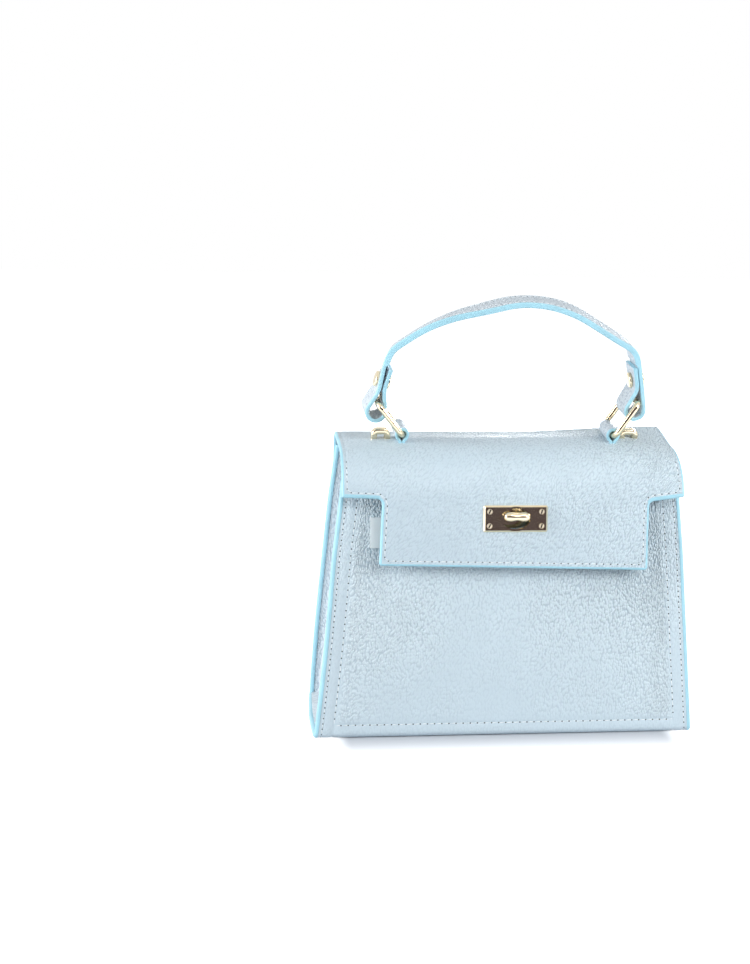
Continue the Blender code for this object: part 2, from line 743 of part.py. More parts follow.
def make_knob(gold, pivot, frame, shaft_end):
    grip_low = FLAP_STANDOFF + FIT + PLATE_THICKNESS + RIM_RISE + KNOB_CLEARANCE
    neck_low = COLLAR_TOP + GAP
    lobe = KNOB_HEIGHT / 2
    neck_top = grip_low + KNOB_LENGTH / 2
    neck_radius = lobe * math.sin(KNOB_LOBE_TURN)
    profile = (
        (0, shaft_end), (SHAFT_RADIUS, shaft_end), (SHAFT_RADIUS, neck_low),
        (neck_radius, neck_low), (neck_radius, neck_top), (0, neck_top),
    )
    knob = turned("turn_knob", profile, gold, pivot, frame)
    bm = bmesh.new()
    rings = []
    for i in range(CORNER_STEPS + 1):
        angle = KNOB_TIP_ANGLE * i / CORNER_STEPS
        height = grip_low + KNOB_LENGTH * math.sin(angle) / math.sin(KNOB_TIP_ANGLE)
        outline = lobed_outline(KNOB_WIDTH / 2 - lobe, lobe * math.cos(angle))
        rings.append([bm.verts.new((p.x, p.y, height)) for p in outline])
    for lower, upper in zip(rings, rings[1:]):
        for k in range(len(lower)):
            following = (k + 1) % len(lower)
            bm.faces.new((lower[k], lower[following], upper[following], upper[k]))
    bm.faces.new(list(reversed(rings[0])))
    bm.faces.new(rings[-1])
    join(knob, make_object("knob_grip", bm, None, None, frame))


def make_flap_top(leather, lining, board, pivot):
    """The leather and the board, which the tabs and lugs cut, are handed back."""
    outer = None
    for name, inset, thickness, material, margin in (
        ("flap_top_lining", FLAP_STACK, LINING, lining, FLAP_LINING_MARGIN),
        ("flap_top_leather", 0, FLAP_LEATHER, leather, 0),
    ):
        path = flap_path(inset)
        front, back = fold_lengths(path)
        run = part_of(path, front + GAP / 2, back - GAP / 2)
        outline = band_outline(FLAP_WIDTH / 2 - margin, lengths_along(run)[-1])
        outer = sheet(name, outline, run, across_body, thickness, material, pivot)
    path = flap_path(FLAP_LEATHER + GAP)
    lengths = lengths_along(path)
    run = part_of(path, lengths[1 + ARC_STEPS] + GAP, lengths[2 + ARC_STEPS] - GAP)
    outline = band_outline(FLAP_WIDTH / 2 - FLAP_BOARD_MARGIN, lengths_along(run)[-1])
    stiffener = sheet("flap_top_board", outline, run, across_body, FLAP_BOARD, board, pivot)
    path = flap_path()
    back = fold_lengths(path)[1]
    run = part_of(path, back + GAP / 2, lengths_along(path)[-1])
    outline = band_outline(FLAP_WIDTH / 2, lengths_along(run)[-1])
    sheet("flap_back_strip", outline, run, across_body, FLAP_LEATHER, leather)
    return outer, stiffener


def make_tab(side, leather, pivot, flap_leather):
    """A leather loop on the flap, whose neck goes down through a slit to a foot below."""
    name = "handle_tab_" + side_named(side)
    upright = Matrix.Rotation(math.pi / 2, 4, "X")
    place = top_frame() @ Matrix.Translation((side * TAB_SPACING / 2, 0, 0))
    half = TAB_WIDTH / 2
    radius = TAB_BORE_RADIUS + TAB_LEATHER
    centre = place @ Matrix.Translation((0, 0, TAB_LOOP_HEIGHT)) @ upright
    loop = rod(name, radius, -half, half, centre, ROUND_SEGMENTS, leather, pivot)
    foot_high = -FLAP_LEATHER - FIT
    neck_outline = rectangle(TAB_NECK, TAB_WIDTH, 0)
    neck_top = TAB_LOOP_HEIGHT - TAB_BORE_RADIUS - TAB_LEATHER / 2
    neck = prism(name + "_neck", neck_outline, foot_high - FLAP_BOARD / 2, neck_top, frame=place)
    outline = rectangle(TAB_FOOT_LENGTH, TAB_FOOT_WIDTH, 0)
    foot = prism(name + "_foot", outline, foot_high - FLAP_BOARD, foot_high, frame=place)
    join(loop, neck, foot)
    cut(loop, rod(name + "_bore", TAB_BORE_RADIUS, -OVERRUN, OVERRUN, centre, ROUND_SEGMENTS))
    outline = rectangle(TAB_NECK + 2 * FIT, TAB_WIDTH + 2 * FIT, 0)
    slit = prism(name + "_slit", outline, -FLAP_STACK / 2, OVERRUN, frame=place)
    cut(flap_leather, slit)


def make_lug(side, gold, steel, pivot, flap_leather, flap_board):
    name = "strap_lug_" + side_named(side)
    place = top_frame() @ Matrix.Translation((side * LUG_SPACING / 2, 0, 0))
    upright = Matrix.Rotation(math.pi / 2, 4, "X")
    x = LUG_LENGTH / 2
    corners = ((-x, FIT), (x, FIT), (x, LUG_HEIGHT), (-x, LUG_HEIGHT))
    outline = rounded(corners, (0, 0, LUG_CORNER, LUG_CORNER), CORNER_STEPS, closed=True)
    half = LUG_DEPTH / 2
    lug = prism(name, outline, -half, half, gold, pivot, place @ upright)
    inner = x - LUG_BAR
    top = LUG_HEIGHT - LUG_BAR
    corners = ((-inner, -OVERRUN), (inner, -OVERRUN), (inner, top), (-inner, top))
    radius = LUG_CORNER - LUG_BAR / 2
    outline = rounded(corners, (0, 0, radius, radius), CORNER_STEPS, closed=True)
    cut(lug, prism(name + "_window", outline, -OVERRUN, OVERRUN, frame=place @ upright))
    back_high = -FLAP_LEATHER - FIT
    back_low = back_high - FLAP_BOARD
    outline = rectangle(LUG_BACKING_LENGTH, LUG_BACKING_WIDTH, PLATE_CORNER)
    backing_name = "lug_backing_" + side_named(side)
    backing = prism(backing_name, outline, back_low, back_high, steel, pivot, place)
    for end in (-1, 1):
        spot = place @ Matrix.Translation((end * (x - LUG_BAR / 2), 0, 0))
        label = name + ("_pin_a" if end < 0 else "_pin_b")
        pin = rod(label, LUG_PIN_RADIUS, back_low, LUG_BAR / 2, spot)
        join(lug, pin)
        hole = rod(label + "_hole", LUG_PIN_RADIUS + FIT, -OVERRUN, OVERRUN, spot)
        cut(backing, hole)
        cut(flap_leather, hole)
    window_start = (TAB_SPACING - TAB_FOOT_LENGTH) / 2 - FOOT_WINDOW_MARGIN
    window_end = (LUG_SPACING + LUG_BACKING_LENGTH) / 2 + FOOT_WINDOW_MARGIN
    outline = rectangle(window_end - window_start, TAB_FOOT_WIDTH + 2 * FOOT_WINDOW_MARGIN, 0)
    middle = side * (window_start + window_end) / 2
    spot = top_frame() @ Matrix.Translation((middle, 0, 0))
    window = prism(name + "_board_window", outline, -FLAP_STACK - LINING, 0, frame=spot)
    cut(flap_board, window)


def ring_frame(side):
    """On the lower bar of a ring, local Z along the ring and local Y along its bars."""
    place = top_frame() @ Matrix.Translation((side * TAB_SPACING / 2, 0, TAB_LOOP_HEIGHT))
    return place @ Matrix.Rotation(side * RING_LEAN - RING_ROCK, 4, "Y")


def make_ring(side, gold, pivot):
    name = "ring_" + side_named(side)
    half = HANDLE_WIDTH / 2 + RING_SIDE_CLEARANCE + RING_WIRE_RADIUS
    corners = ((-half, 0), (half, 0), (half, RING_PITCH), (-half, RING_PITCH))
    points = rounded(corners, (RING_CORNER,) * 4, CORNER_STEPS, closed=True)
    curve = bpy.data.curves.new(name, "CURVE")
    curve.dimensions = "3D"
    curve.bevel_depth = RING_WIRE_RADIUS
    curve.bevel_resolution = WIRE_RESOLUTION
    curve.use_fill_caps = True
    spline = curve.splines.new("POLY")
    spline.points.add(len(points) - 1)
    for place, point in zip(spline.points, points):
        place.co = (0, point.x, point.y, 1)
    spline.use_cyclic_u = True
    ring = bpy.data.objects.new(name, curve)
    bpy.context.scene.collection.objects.link(ring)
    ring.matrix_basis = ring_frame(side)
    curve.materials.append(gold)
    hang(ring, pivot)


# Handle, worked out in the plane of local X and Z of the flap's top face


def ring_top(side):
    """The middle of a ring's upper bar."""
    lean = side * RING_LEAN - RING_ROCK
    x = side * TAB_SPACING / 2 + RING_PITCH * math.sin(lean)
    return Vector((x, TAB_LOOP_HEIGHT + RING_PITCH * math.cos(lean)))


def handle_axes():
    """The middle between the two rings' upper bars, half their distance, and the handle's
    own directions: across, and up from the line through both bars."""
    left = ring_top(-1)
    span = ring_top(1) - left
    across = span.normalized()
    return left + span / 2, span.length / 2, across, Vector((-across.y, across.x))


def handle_point(x, z):
    middle, _, across, up = handle_axes()
    return middle + across * x + up * z


def leaning(side, lean, along, out):
    """Steps along a line that leans inwards, and out from it, to one side of the handle."""
    x = out * math.cos(lean) - along * math.sin(lean)
    z = out * math.sin(lean) + along * math.cos(lean)
    return Vector((side * x, z))


def leg_point(side, along, out):
    """A point on a handle end, measured from the ring's upper bar: up to LOOP_TOP on the
    loop, and beyond it on the leg."""
    half_span = handle_axes()[1]
    loop_lean = RIGHT_LOOP_LEAN if side > 0 else LEFT_LOOP_LEAN
    leg_lean = RIGHT_LEG_LEAN if side > 0 else LEFT_LEG_LEAN
    point = Vector((side * half_span, 0))
    if along <= LOOP_TOP:
        point += leaning(side, loop_lean, along, out)
    else:
        point += leaning(side, loop_lean, LOOP_TOP, 0)
        point += leaning(side, leg_lean, along - LOOP_TOP, out)
    return handle_point(*point)


def arch_path(out):
    """Over the arch from the right leg to the left leg, out from its middle surface."""
    half_span = handle_axes()[1]
    start = LOOP_TOP + GAP
    corners = [leg_point(1, start, 0), leg_point(1, LEG_LENGTH, 0)]
    corners += [handle_point(x * half_span, z * HANDLE_RISE) for x, z in ARCH_CORNER_SHARES]
    corners += [leg_point(-1, LEG_LENGTH, 0), leg_point(-1, start, 0)]
    radii = [0, SHOULDER_RADIUS]
    for i, share in enumerate(ARCH_REACH_SHARES, start=2):
        angle = turn_of(*corners[i - 1:i + 2])[2]
        radii.append(share * half_span / math.tan(angle / 2))
    radii += [SHOULDER_RADIUS, 0]
    return offset(rounded(corners, radii, ARC_STEPS), -out)


def loop_points(side):
    """The strap's outer face round a ring's bar, from its tail to the start of the leg."""
    ply = HANDLE_LEATHER + GAP / 2
    wide = LOOP_BORE_RADIUS + HANDLE_LEATHER
    points = [(TAIL_LENGTH, -ply), (LOOP_TOP + GAP, -ply)]
    steps = 2 * ARC_STEPS
    for i in range(steps + 1):
        angle = (math.pi + 2 * LOOP_OPENING) * i / steps - LOOP_OPENING
        points.append((-LOOP_DROP - wide * math.sin(angle), -wide * math.cos(angle)))
    return [leg_point(side, along, out) for along, out in points]


def handle_path():
    ply = HANDLE_LEATHER + GAP / 2
    right = loop_points(1)
    left = loop_points(-1)
    return right + arch_path(ply) + left[::-1]


def make_handle(leather, gold, pivot):
    frame = top_frame()

    def across_handle(across, point):
        return frame @ Vector((point.x, across, point.y))

    half = HANDLE_WIDTH / 2
    path = handle_path()
    outline = band_outline(half, lengths_along(path)[-1])
    strap = sheet("handle_strap", outline, path, across_handle, HANDLE_LEATHER, leather, pivot)
    inner = arch_path(-GAP / 2)
    start = TAIL_LENGTH - LOOP_TOP + 2 * GAP
    run = part_of(inner, start, lengths_along(inner)[-1] - start)
    outline = band_outline(half, lengths_along(run)[-1])
    sheet("handle_inner_layer", outline, run, across_handle, HANDLE_INNER_LEATHER, leather, pivot)
    for side in (-1, 1):
        make_handle_screw(side, gold, pivot, strap)


def make_handle_screw(side, gold, pivot, strap):
    """A threaded post from the outer face, and a slotted cap screwed into it from inside."""
    spot = leg_point(side, HANDLE_SCREW_HEIGHT, 0)
    outwards = leg_point(side, HANDLE_SCREW_HEIGHT, HANDLE_LEATHER) - spot
    turn = Matrix.Rotation(math.atan2(outwards.x, outwards.y), 4, "Y")
    frame = top_frame() @ Matrix.Translation((spot.x, 0, spot.y)) @ turn
    face = GAP / 2 + HANDLE_LEATHER + FIT
    head_top = face + HANDLE_SCREW_HEAD
    barrel_end = -face + FIT
    radius = HANDLE_SCREW_HEAD_RADIUS
    shoulder = head_top - HANDLE_SCREW_DOME
    floor = face + HANDLE_SCREW_HEAD / 2
    profile = (
        (0, floor), (BARREL_BORE_RADIUS, floor), (BARREL_BORE_RADIUS, barrel_end),
        (BARREL_RADIUS, barrel_end), (BARREL_RADIUS, face), (radius, face),
        (radius, shoulder), (radius - HANDLE_SCREW_DOME, head_top), (0, head_top),
    )
    turned("handle_post_" + side_named(side), profile, gold, pivot, frame)
    profile = (
        (0, -head_top), (radius - HANDLE_SCREW_DOME, -head_top), (radius, -shoulder),
        (radius, -face), (CAP_SHAFT_RADIUS, -face), (CAP_SHAFT_RADIUS, face), (0, face),
    )
    name = "handle_cap_" + side_named(side)
    cap = turned(name, profile, gold, pivot, frame)
    outline = rectangle(2 * OVERRUN, CAP_SLOT_WIDTH, 0)
    slot_floor = -head_top + CAP_SLOT_DEPTH
    cut(cap, prism(name + "_slot", outline, -head_top - OVERRUN, slot_floor, frame=frame))
    cut(strap, rod(name + "_hole", BARREL_RADIUS + FIT, -2 * face, 2 * face, frame))


def make_tag(material):
    across = TAG_WIDTH / 2 - TONGUE_WIDTH / 2 - TAG_SHOWN
    middle = Vector((across, -TAG_DROP / math.cos(WALL_TILT), 0))
    outline = rectangle(TAG_WIDTH, TAG_HEIGHT, 0)
    frame = lock_frame() @ Matrix.Translation(middle)
    prism("blank_tag", outline, GAP, GAP + TAG_THICKNESS, material, frame=frame)


def main():
    clear_scene()
    leather = make_material("pebbled blue leather", LEATHER_BLUE, 0.45)
    edge_paint = make_material("painted leather edge", EDGE_BLUE, 0.35)
    lining = make_material("blue lining", LINING_BLUE, 0.8)
    board = make_material("stiffening board", BOARD_GREY, 0.9)
    gold = make_material("pale gold plating", PALE_GOLD, 0.15, 1.0)
    steel = make_material("zinc plated steel", STEEL_GREY, 0.4, 1.0)

    make_body(leather, lining, board)
    make_gusset("gusset_left", -1, leather)
    make_gusset("gusset_right", 1, leather)

    front_fold, back_fold = fold_pivots()
    flap_top = make_pivot("flap_top_pivot", back_fold)
    flap_front = make_pivot("flap_front_pivot", front_fold, flap_top)
    lock_axis = lock_frame() @ Vector((0, KNOB_RAISE, 0))
    knob = make_pivot("knob_pivot", lock_axis)

    make_lock(gold, steel, knob)
    cutters = lock_cutters()
    make_lock_plate(gold, flap_front, cutters)
    make_flap_front(leather, lining, board, gold, flap_front, cutters)
    flap_leather, flap_board = make_flap_top(leather, lining, board, flap_top)
    for side in (-1, 1):
        make_tab(side, edge_paint, flap_top, flap_leather)
        make_lug(side, gold, steel, flap_top, flap_leather, flap_board)
    rings = {}
    for side in (-1, 1):
        name = "ring_" + side_named(side) + "_pivot"
        rings[side] = make_pivot(name, ring_frame(side).to_translation(), flap_top)
        make_ring(side, gold, rings[side])
    top = ring_top(-1)
    handle_axis = top_frame() @ Vector((top.x, 0, top.y))
    handle = make_pivot("handle_pivot", handle_axis, rings[-1])
    make_handle(leather, gold, handle)
    make_tag(edge_paint)


main()
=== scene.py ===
"""A small structured leather handbag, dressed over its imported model, in the order it is made."""
import math

import bmesh
import bpy
from mathutils import Matrix, Vector


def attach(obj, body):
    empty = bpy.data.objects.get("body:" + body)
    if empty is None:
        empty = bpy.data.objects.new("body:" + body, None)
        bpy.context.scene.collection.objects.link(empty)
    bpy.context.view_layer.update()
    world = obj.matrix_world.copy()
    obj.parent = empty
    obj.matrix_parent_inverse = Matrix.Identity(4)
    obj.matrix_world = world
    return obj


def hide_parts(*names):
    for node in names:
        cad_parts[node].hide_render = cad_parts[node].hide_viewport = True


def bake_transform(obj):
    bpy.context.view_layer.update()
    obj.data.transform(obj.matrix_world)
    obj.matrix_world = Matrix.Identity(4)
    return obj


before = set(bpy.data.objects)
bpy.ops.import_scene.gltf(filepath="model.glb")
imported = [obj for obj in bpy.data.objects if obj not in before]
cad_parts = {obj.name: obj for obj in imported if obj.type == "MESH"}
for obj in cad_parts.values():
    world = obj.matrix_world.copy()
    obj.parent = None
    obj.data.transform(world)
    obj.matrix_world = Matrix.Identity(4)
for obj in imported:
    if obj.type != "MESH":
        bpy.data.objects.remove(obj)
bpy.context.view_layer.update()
scene = bpy.context.scene

# Camera
# It stands 955 mm in front of the bag, left of it and a little above the handle. It looks
# down by 11 degrees, and one millimetre at one metre is 1.6 of the picture's 964 rows.
MM = 0.001
camera_place = Vector((-201.5, -954.6, 342.9)) * MM
camera_yaw, camera_pitch, camera_roll = (math.radians(turn) for turn in (7.25, 11.3, 1.37))
focal_rows = 1600
picture_rows = 964
sensor_height = 24

forward = Vector((
    math.sin(camera_yaw) * math.cos(camera_pitch),
    math.cos(camera_yaw) * math.cos(camera_pitch),
    -math.sin(camera_pitch),
))
level = Vector((math.cos(camera_yaw), -math.sin(camera_yaw), 0))
upright = level.cross(forward)
rolled = math.cos(camera_roll) * level + math.sin(camera_roll) * upright
upright = math.cos(camera_roll) * upright - math.sin(camera_roll) * level
lens = bpy.data.cameras.new("camera")
lens.sensor_fit = "VERTICAL"
lens.sensor_height = sensor_height
lens.lens = focal_rows / picture_rows * sensor_height
lens.clip_start = 10 * MM
camera = bpy.data.objects.new("camera", lens)
axes = Matrix((rolled, upright, -forward)).transposed()
camera.matrix_world = Matrix.Translation(camera_place) @ axes.to_4x4()
scene.collection.objects.link(camera)
scene.camera = camera
scene.view_settings.view_transform = "Standard"


# Light
# A white photographer's cove: soft light from everywhere, the strongest softbox on the left,
# weaker ones high in front and at the right, and one behind. Camera and metal see pure white.
def add(tree, kind, inputs=None, **settings):
    """A shader node with its settings; each input is a value or the socket that feeds it."""
    made = tree.nodes.new("ShaderNode" + kind)
    for name, value in settings.items():
        setattr(made, name, value)
    for name, value in (inputs or {}).items():
        if isinstance(value, bpy.types.NodeSocket):
            tree.links.new(value, made.inputs[name])
        else:
            made.inputs[name].default_value = value
    return made


def paint(code):
    """An sRGB hex colour as linear red, green, blue and alpha."""
    parts = [int(code[i:i + 2], 16) / 255 for i in (1, 3, 5)]
    return (*[p / 12.92 if p <= 0.04045 else ((p + 0.055) / 1.055) ** 2.4 for p in parts], 1)


def seen_directly(tree):
    """One for camera rays and for rays that metal or glass sends on."""
    rays = add(tree, "LightPath").outputs
    mirrored = add(tree, "Math", {
        0: rays["Is Glossy Ray"], 1: rays["Is Transmission Ray"],
    }, operation="MAXIMUM")
    return add(tree, "Math", {
        0: rays["Is Camera Ray"], 1: mirrored.outputs[0],
    }, operation="MAXIMUM").outputs[0]


world = bpy.data.worlds.new("white cove")
scene.world = world
world.use_nodes = True
tree = world.node_tree
tree.nodes.clear()
soft_sky = add(tree, "Background", {"Color": paint("#FCFDFF"), "Strength": 0.34})
white_sky = add(tree, "Background", {"Color": paint("#FFFFFF"), "Strength": 1})
sky = add(tree, "MixShader", {
    0: seen_directly(tree), 1: soft_sky.outputs[0], 2: white_sky.outputs[0],
})
add(tree, "OutputWorld", {"Surface": sky.outputs[0]})

softboxes = (
    ("high softbox", (0.4, -0.9, 0.95), 0.45, 4.0),
    ("left softbox", (-1.2, -0.25, 0.45), 0.6, 13.5),
    ("right softbox", (0.62, -0.52, 0.4), 0.25, 3.3),
    ("rear softbox", (0.4, 1.2, 0.1), 0.5, 8.5),
)
for name, place, size, power in softboxes:
    lamp = bpy.data.lights.new(name, "AREA")
    lamp.size = size
    lamp.energy = power
    box = bpy.data.objects.new(name, lamp)
    box.location = place
    aim = Vector((0, 0, 120 * MM)) - box.location
    box.rotation_euler = aim.to_track_quat("-Z", "Y").to_euler()
    scene.collection.objects.link(box)

# Cove floor
# Matt white card under the bag. It keeps the soft contact shadow, and what the camera sees of
# it is lifted to white, but only from a little way off the bag's foot: the band round the foot
# that stays the card's own grey is painted shadow, laid under the real one.
FLOOR_REACH = 4
SHADOW_HALF_WIDTH = 96 * MM
SHADOW_HALF_DEPTH = 39 * MM
SHADOW_FADE = 46 * MM
SIDE_HASTE = 3


def new_piece(name, bm, *materials):
    """An object from a finished mesh, in the scene."""
    mesh = bpy.data.meshes.new(name)
    bm.to_mesh(mesh)
    bm.free()
    for material in materials:
        mesh.materials.append(material)
    made = bpy.data.objects.new(name, mesh)
    scene.collection.objects.link(made)
    return made


def new_material(name):
    """A material and its node tree, still empty."""
    made = bpy.data.materials.new(name)
    made.use_nodes = True
    made.node_tree.nodes.clear()
    return made, made.node_tree


card, tree = new_material("matt white card")
tooth = add(tree, "TexNoise", {"Scale": 1 / (0.5 * MM), "Detail": 2})
tooth_bump = add(tree, "Bump", {
    "Strength": 0.1, "Distance": 0.05 * MM, "Height": tooth.outputs[0],
})
matt = add(tree, "BsdfDiffuse", {
    "Color": paint("#C4C8CE"), "Normal": tooth_bump.outputs[0],
})
spot = add(tree, "TexCoord").outputs["Object"]
beside = add(tree, "VectorMath", {0: spot}, operation="ABSOLUTE")
outside = add(tree, "VectorMath", {
    0: beside.outputs[0], 1: (SIDE_HASTE, 1, 0),
    2: (-SIDE_HASTE * SHADOW_HALF_WIDTH, -SHADOW_HALF_DEPTH, 0),
}, operation="MULTIPLY_ADD")
clear_of_bag = add(tree, "VectorMath", {
    0: outside.outputs[0], 1: (0, 0, 0),
}, operation="MAXIMUM")
from_bag = add(tree, "VectorMath", {0: clear_of_bag.outputs[0]}, operation="LENGTH")
# Painted shadow: the lift to white fades in only within SHADOW_FADE of the bag's foot, three times
# as fast at its sides.
beyond_painted_shadow = add(tree, "MapRange", {
    "Value": from_bag.outputs["Value"], "From Min": 0, "From Max": SHADOW_FADE,
    "To Min": 0, "To Max": 1,
}, interpolation_type="SMOOTHSTEP")
lift = add(tree, "Math", {
    0: seen_directly(tree), 1: beyond_painted_shadow.outputs[0],
}, operation="MULTIPLY")
glow = add(tree, "Emission", {
    "Color": paint("#FFFFFF"), "Strength": lift.outputs[0],
})
both = add(tree, "AddShader", {0: matt.outputs[0], 1: glow.outputs[0]})
add(tree, "OutputMaterial", {"Surface": both.outputs[0]})
bm = bmesh.new()
bmesh.ops.create_grid(bm, x_segments=8, y_segments=8, size=FLOOR_REACH)
floor = new_piece("cove_floor", bm, card)

# Dark flag
# A dark card in front of the bag that only polished metal mirrors. It gives the gold fittings
# their brown streaks, as the unlit side of a studio does.
felt, tree = new_material("dark felt card")
nap = add(tree, "TexNoise", {"Scale": 3, "Detail": 2})
felt_tone = add(tree, "Mix", {
    0: nap.outputs[0], 6: paint("#4A434B"), 7: paint("#736A72"),
}, data_type="RGBA")
dim = add(tree, "Emission", {"Color": felt_tone.outputs[2], "Strength": 1})
clear = add(tree, "BsdfTransparent", {"Color": (1, 1, 1, 1)})
mirrored_only = add(tree, "MixShader", {
    0: add(tree, "LightPath").outputs["Is Glossy Ray"],
    1: clear.outputs[0], 2: dim.outputs[0],
})
add(tree, "OutputMaterial", {"Surface": mirrored_only.outputs[0]})
bm = bmesh.new()
bmesh.ops.create_grid(bm, x_segments=4, y_segments=4, size=0.5)
flag = new_piece("dark_flag", bm, felt)
flag.location = (0, -0.62, 0.1)
flag.rotation_euler = (math.pi / 2, 0, 0)
flag.scale = (1.4, 1, 1)

# Body wrap
# One sheet of shrunken calf leather, 1.6 mm thick, that runs down the back, under the base and
# up the front. It is stitched to the gussets along both sides, and its grain is coarse.
BASE_WIDTH = 230 * MM
TOP_WIDTH = 204 * MM
BASE_DEPTH = 82 * MM
TOP_DEPTH = 50 * MM
BACK_HEIGHT = 170 * MM
FRONT_HEIGHT = 157 * MM
BASE_EDGE_RADIUS = 4 * MM
WRAP_LEATHER = 1.6 * MM
SEAM_ROLL = 1.8 * MM
SEAM_BEAD = 0.8 * MM
REAR_BEAD_LESS = 0.3 * MM
BASE_MIDDLE = 211 * MM
OUTER_SEAM = 3.6 * MM
INNER_SEAM = 10.2 * MM
FOOT_SEAM = 8.4 * MM
SEAM_DENT = 0.35 * MM
SEAM_DENT_WIDTH = 1.1 * MM
PANEL_CROWN = 1.1 * MM
PANEL_CROWN_REACH = 45 * MM
FOOT_BULGE = 1.5 * MM
FOOT_BULGE_HEIGHT = 30 * MM
WALL_TILT = math.atan2((BASE_DEPTH - TOP_DEPTH) / 2, BACK_HEIGHT)
WING_BOTTOM_HEIGHT = 147.6 * MM
SPREADS = {-1: 1.3 * MM, 1: 0.9 * MM}
SPREAD_FADE = 35 * MM
SHARP_CORNER = math.radians(50)
FOOT_TWIST = 1.9 * MM
FOOT_TWIST_HEIGHT = 80 * MM


def half_width(height):
    return (BASE_WIDTH - (BASE_WIDTH - TOP_WIDTH) * height / BACK_HEIGHT) / 2


def half_depth(height):
    return (BASE_DEPTH - (BASE_DEPTH - TOP_DEPTH) * height / BACK_HEIGHT) / 2


def foot_bulge(y, height):
    """The loaded base spreads: its two short sides bow outwards between front and back."""
    bow = max(1 - (y / half_depth(height)) ** 2, 0)
    return FOOT_BULGE * bow * max(1 - height / FOOT_BULGE_HEIGHT, 0) ** 2


def stretch(side, y, height):
    """How much wider the worn bag stands on a side. On its left the front has also moved out
    at the foot, and the back in."""
    top = BACK_HEIGHT if y > 0 else WING_BOTTOM_HEIGHT
    wider = SPREADS[side] * min(max((top - height) / SPREAD_FADE, 0), 1)
    if side < 0:
        low = max(1 - height / FOOT_TWIST_HEIGHT, 0) ** 2
        wider -= FOOT_TWIST * low * y / half_depth(height)
    return 1 + wider / half_width(height)


def rounded(corners, radii, steps=16):
    """A line of 2D points through corners, each turned in an arc of its radius."""
    points = [Vector(corner) for corner in corners]
    found = []
    for i, (point, radius) in enumerate(zip(points, radii)):
        if not radius:
            found.append(point)
            continue
        arriving = (point - points[i - 1]).normalized()
        leaving = (points[(i + 1) % len(points)] - point).normalized()
        angle = arriving.angle(leaving)
        sign = 1 if arriving.cross(leaving) > 0 else -1
        start = point - arriving * radius * math.tan(angle / 2)
        centre = start + Vector((-arriving.y, arriving.x)) * sign * radius
        for k in range(steps + 1):
            found.append(centre + Matrix.Rotation(sign * angle * k / steps, 2) @ (start - centre))
    return found


class Track:
    """A line of 2D points with its lengths and the directions to its left."""

    def __init__(self, points, side=1):
        self.points = points
        self.lengths = [0.0]
        for before, after in zip(points, points[1:]):
            self.lengths.append(self.lengths[-1] + (after - before).length)
        self.length = self.lengths[-1]
        self.lefts = []
        for i in range(len(points)):
            along = points[min(i + 1, len(points) - 1)] - points[max(i - 1, 0)]
            self.lefts.append(Vector((-along.y, along.x)).normalized() * side)

    def spot(self, length):
        """The index before a length, and how far on towards the next point it lies."""
        for i in range(len(self.points) - 2):
            if length < self.lengths[i + 1]:
                break
        else:
            i = len(self.points) - 2
        return i, (length - self.lengths[i]) / (self.lengths[i + 1] - self.lengths[i])

    def at(self, length, out=0.0):
        i, share = self.spot(length)
        left = self.lefts[i].lerp(self.lefts[i + 1], share).normalized()
        return self.points[i].lerp(self.points[i + 1], share) + left * out

    def stations(self, step):
        """Every point of the line, and more between those that lie further apart."""
        found = [0.0]
        for before, after in zip(self.lengths, self.lengths[1:]):
            count = max(1, math.ceil((after - before) / step))
            found += [before + (after - before) * (k + 1) / count for k in range(count)]
        return found


def body_line():
    """Down the back, under the base and up the front, as (y, z)."""
    corners = (
        (half_depth(BACK_HEIGHT), BACK_HEIGHT), (half_depth(0), 0),
        (-half_depth(0), 0), (-half_depth(FRONT_HEIGHT), FRONT_HEIGHT),
    )
    return rounded(corners, (0, BASE_EDGE_RADIUS, BASE_EDGE_RADIUS, 0), 8)


def piece(name, bm, *materials):
    """An object from a finished mesh, smooth but for its sharp corners."""
    bmesh.ops.recalc_face_normals(bm, faces=bm.faces[:])
    made = new_piece(name, bm, *materials)
    made.data.shade_smooth()
    made.data.set_sharp_from_angle(angle=SHARP_CORNER)
    return made


def around(count):
    """Evenly spread turns, once round."""
    return [math.tau * k / count for k in range(count)]


def skin(bm, rings):
    """Faces between one ring of vertices and the next."""
    for here, there in zip(rings, rings[1:]):
        for k in range(len(here)):
            n = (k + 1) % len(here)
            bm.faces.new((here[k], here[n], there[n], there[k]))


def cut_out(target, cutter):
    """Cuts the shape of one object out of another for good."""
    tool = target.modifiers.new("cut out", "BOOLEAN")
    tool.object = cutter
    tool.solver = "EXACT"
    bpy.context.view_layer.update()
    cut_mesh = bpy.data.meshes.new_from_object(
        target.evaluated_get(bpy.context.evaluated_depsgraph_get()))
    target.modifiers.clear()
    target.data = cut_mesh
    bpy.data.objects.remove(cutter)


def sweep(stations, section, place, end_fill=0):
    """A mesh of one closed section after another. A section is a list of (across, out,
    material) points, and place gives the spot of each at its station."""
    bm = bmesh.new()
    cut = bm.loops.layers.uv.new("cut")
    where = {}
    loops = []
    for station in stations:
        loop = []
        for across, out, fill in section(station):
            vertex = bm.verts.new(place(station, across, out))
            where[vertex] = (across, station)
            loop.append((vertex, fill))
        loops.append(loop)
    for here, there in zip(loops, loops[1:]):
        for i in range(len(here)):
            k = (i + 1) % len(here)
            face = bm.faces.new((here[i][0], here[k][0], there[k][0], there[i][0]))
            face.material_index = here[i][1]
            for corner in face.loops:
                corner[cut].uv = where[corner.vert]
    for end in (loops[0], loops[-1]):
        bm.faces.new([vertex for vertex, _ in end]).material_index = end_fill
    return bm


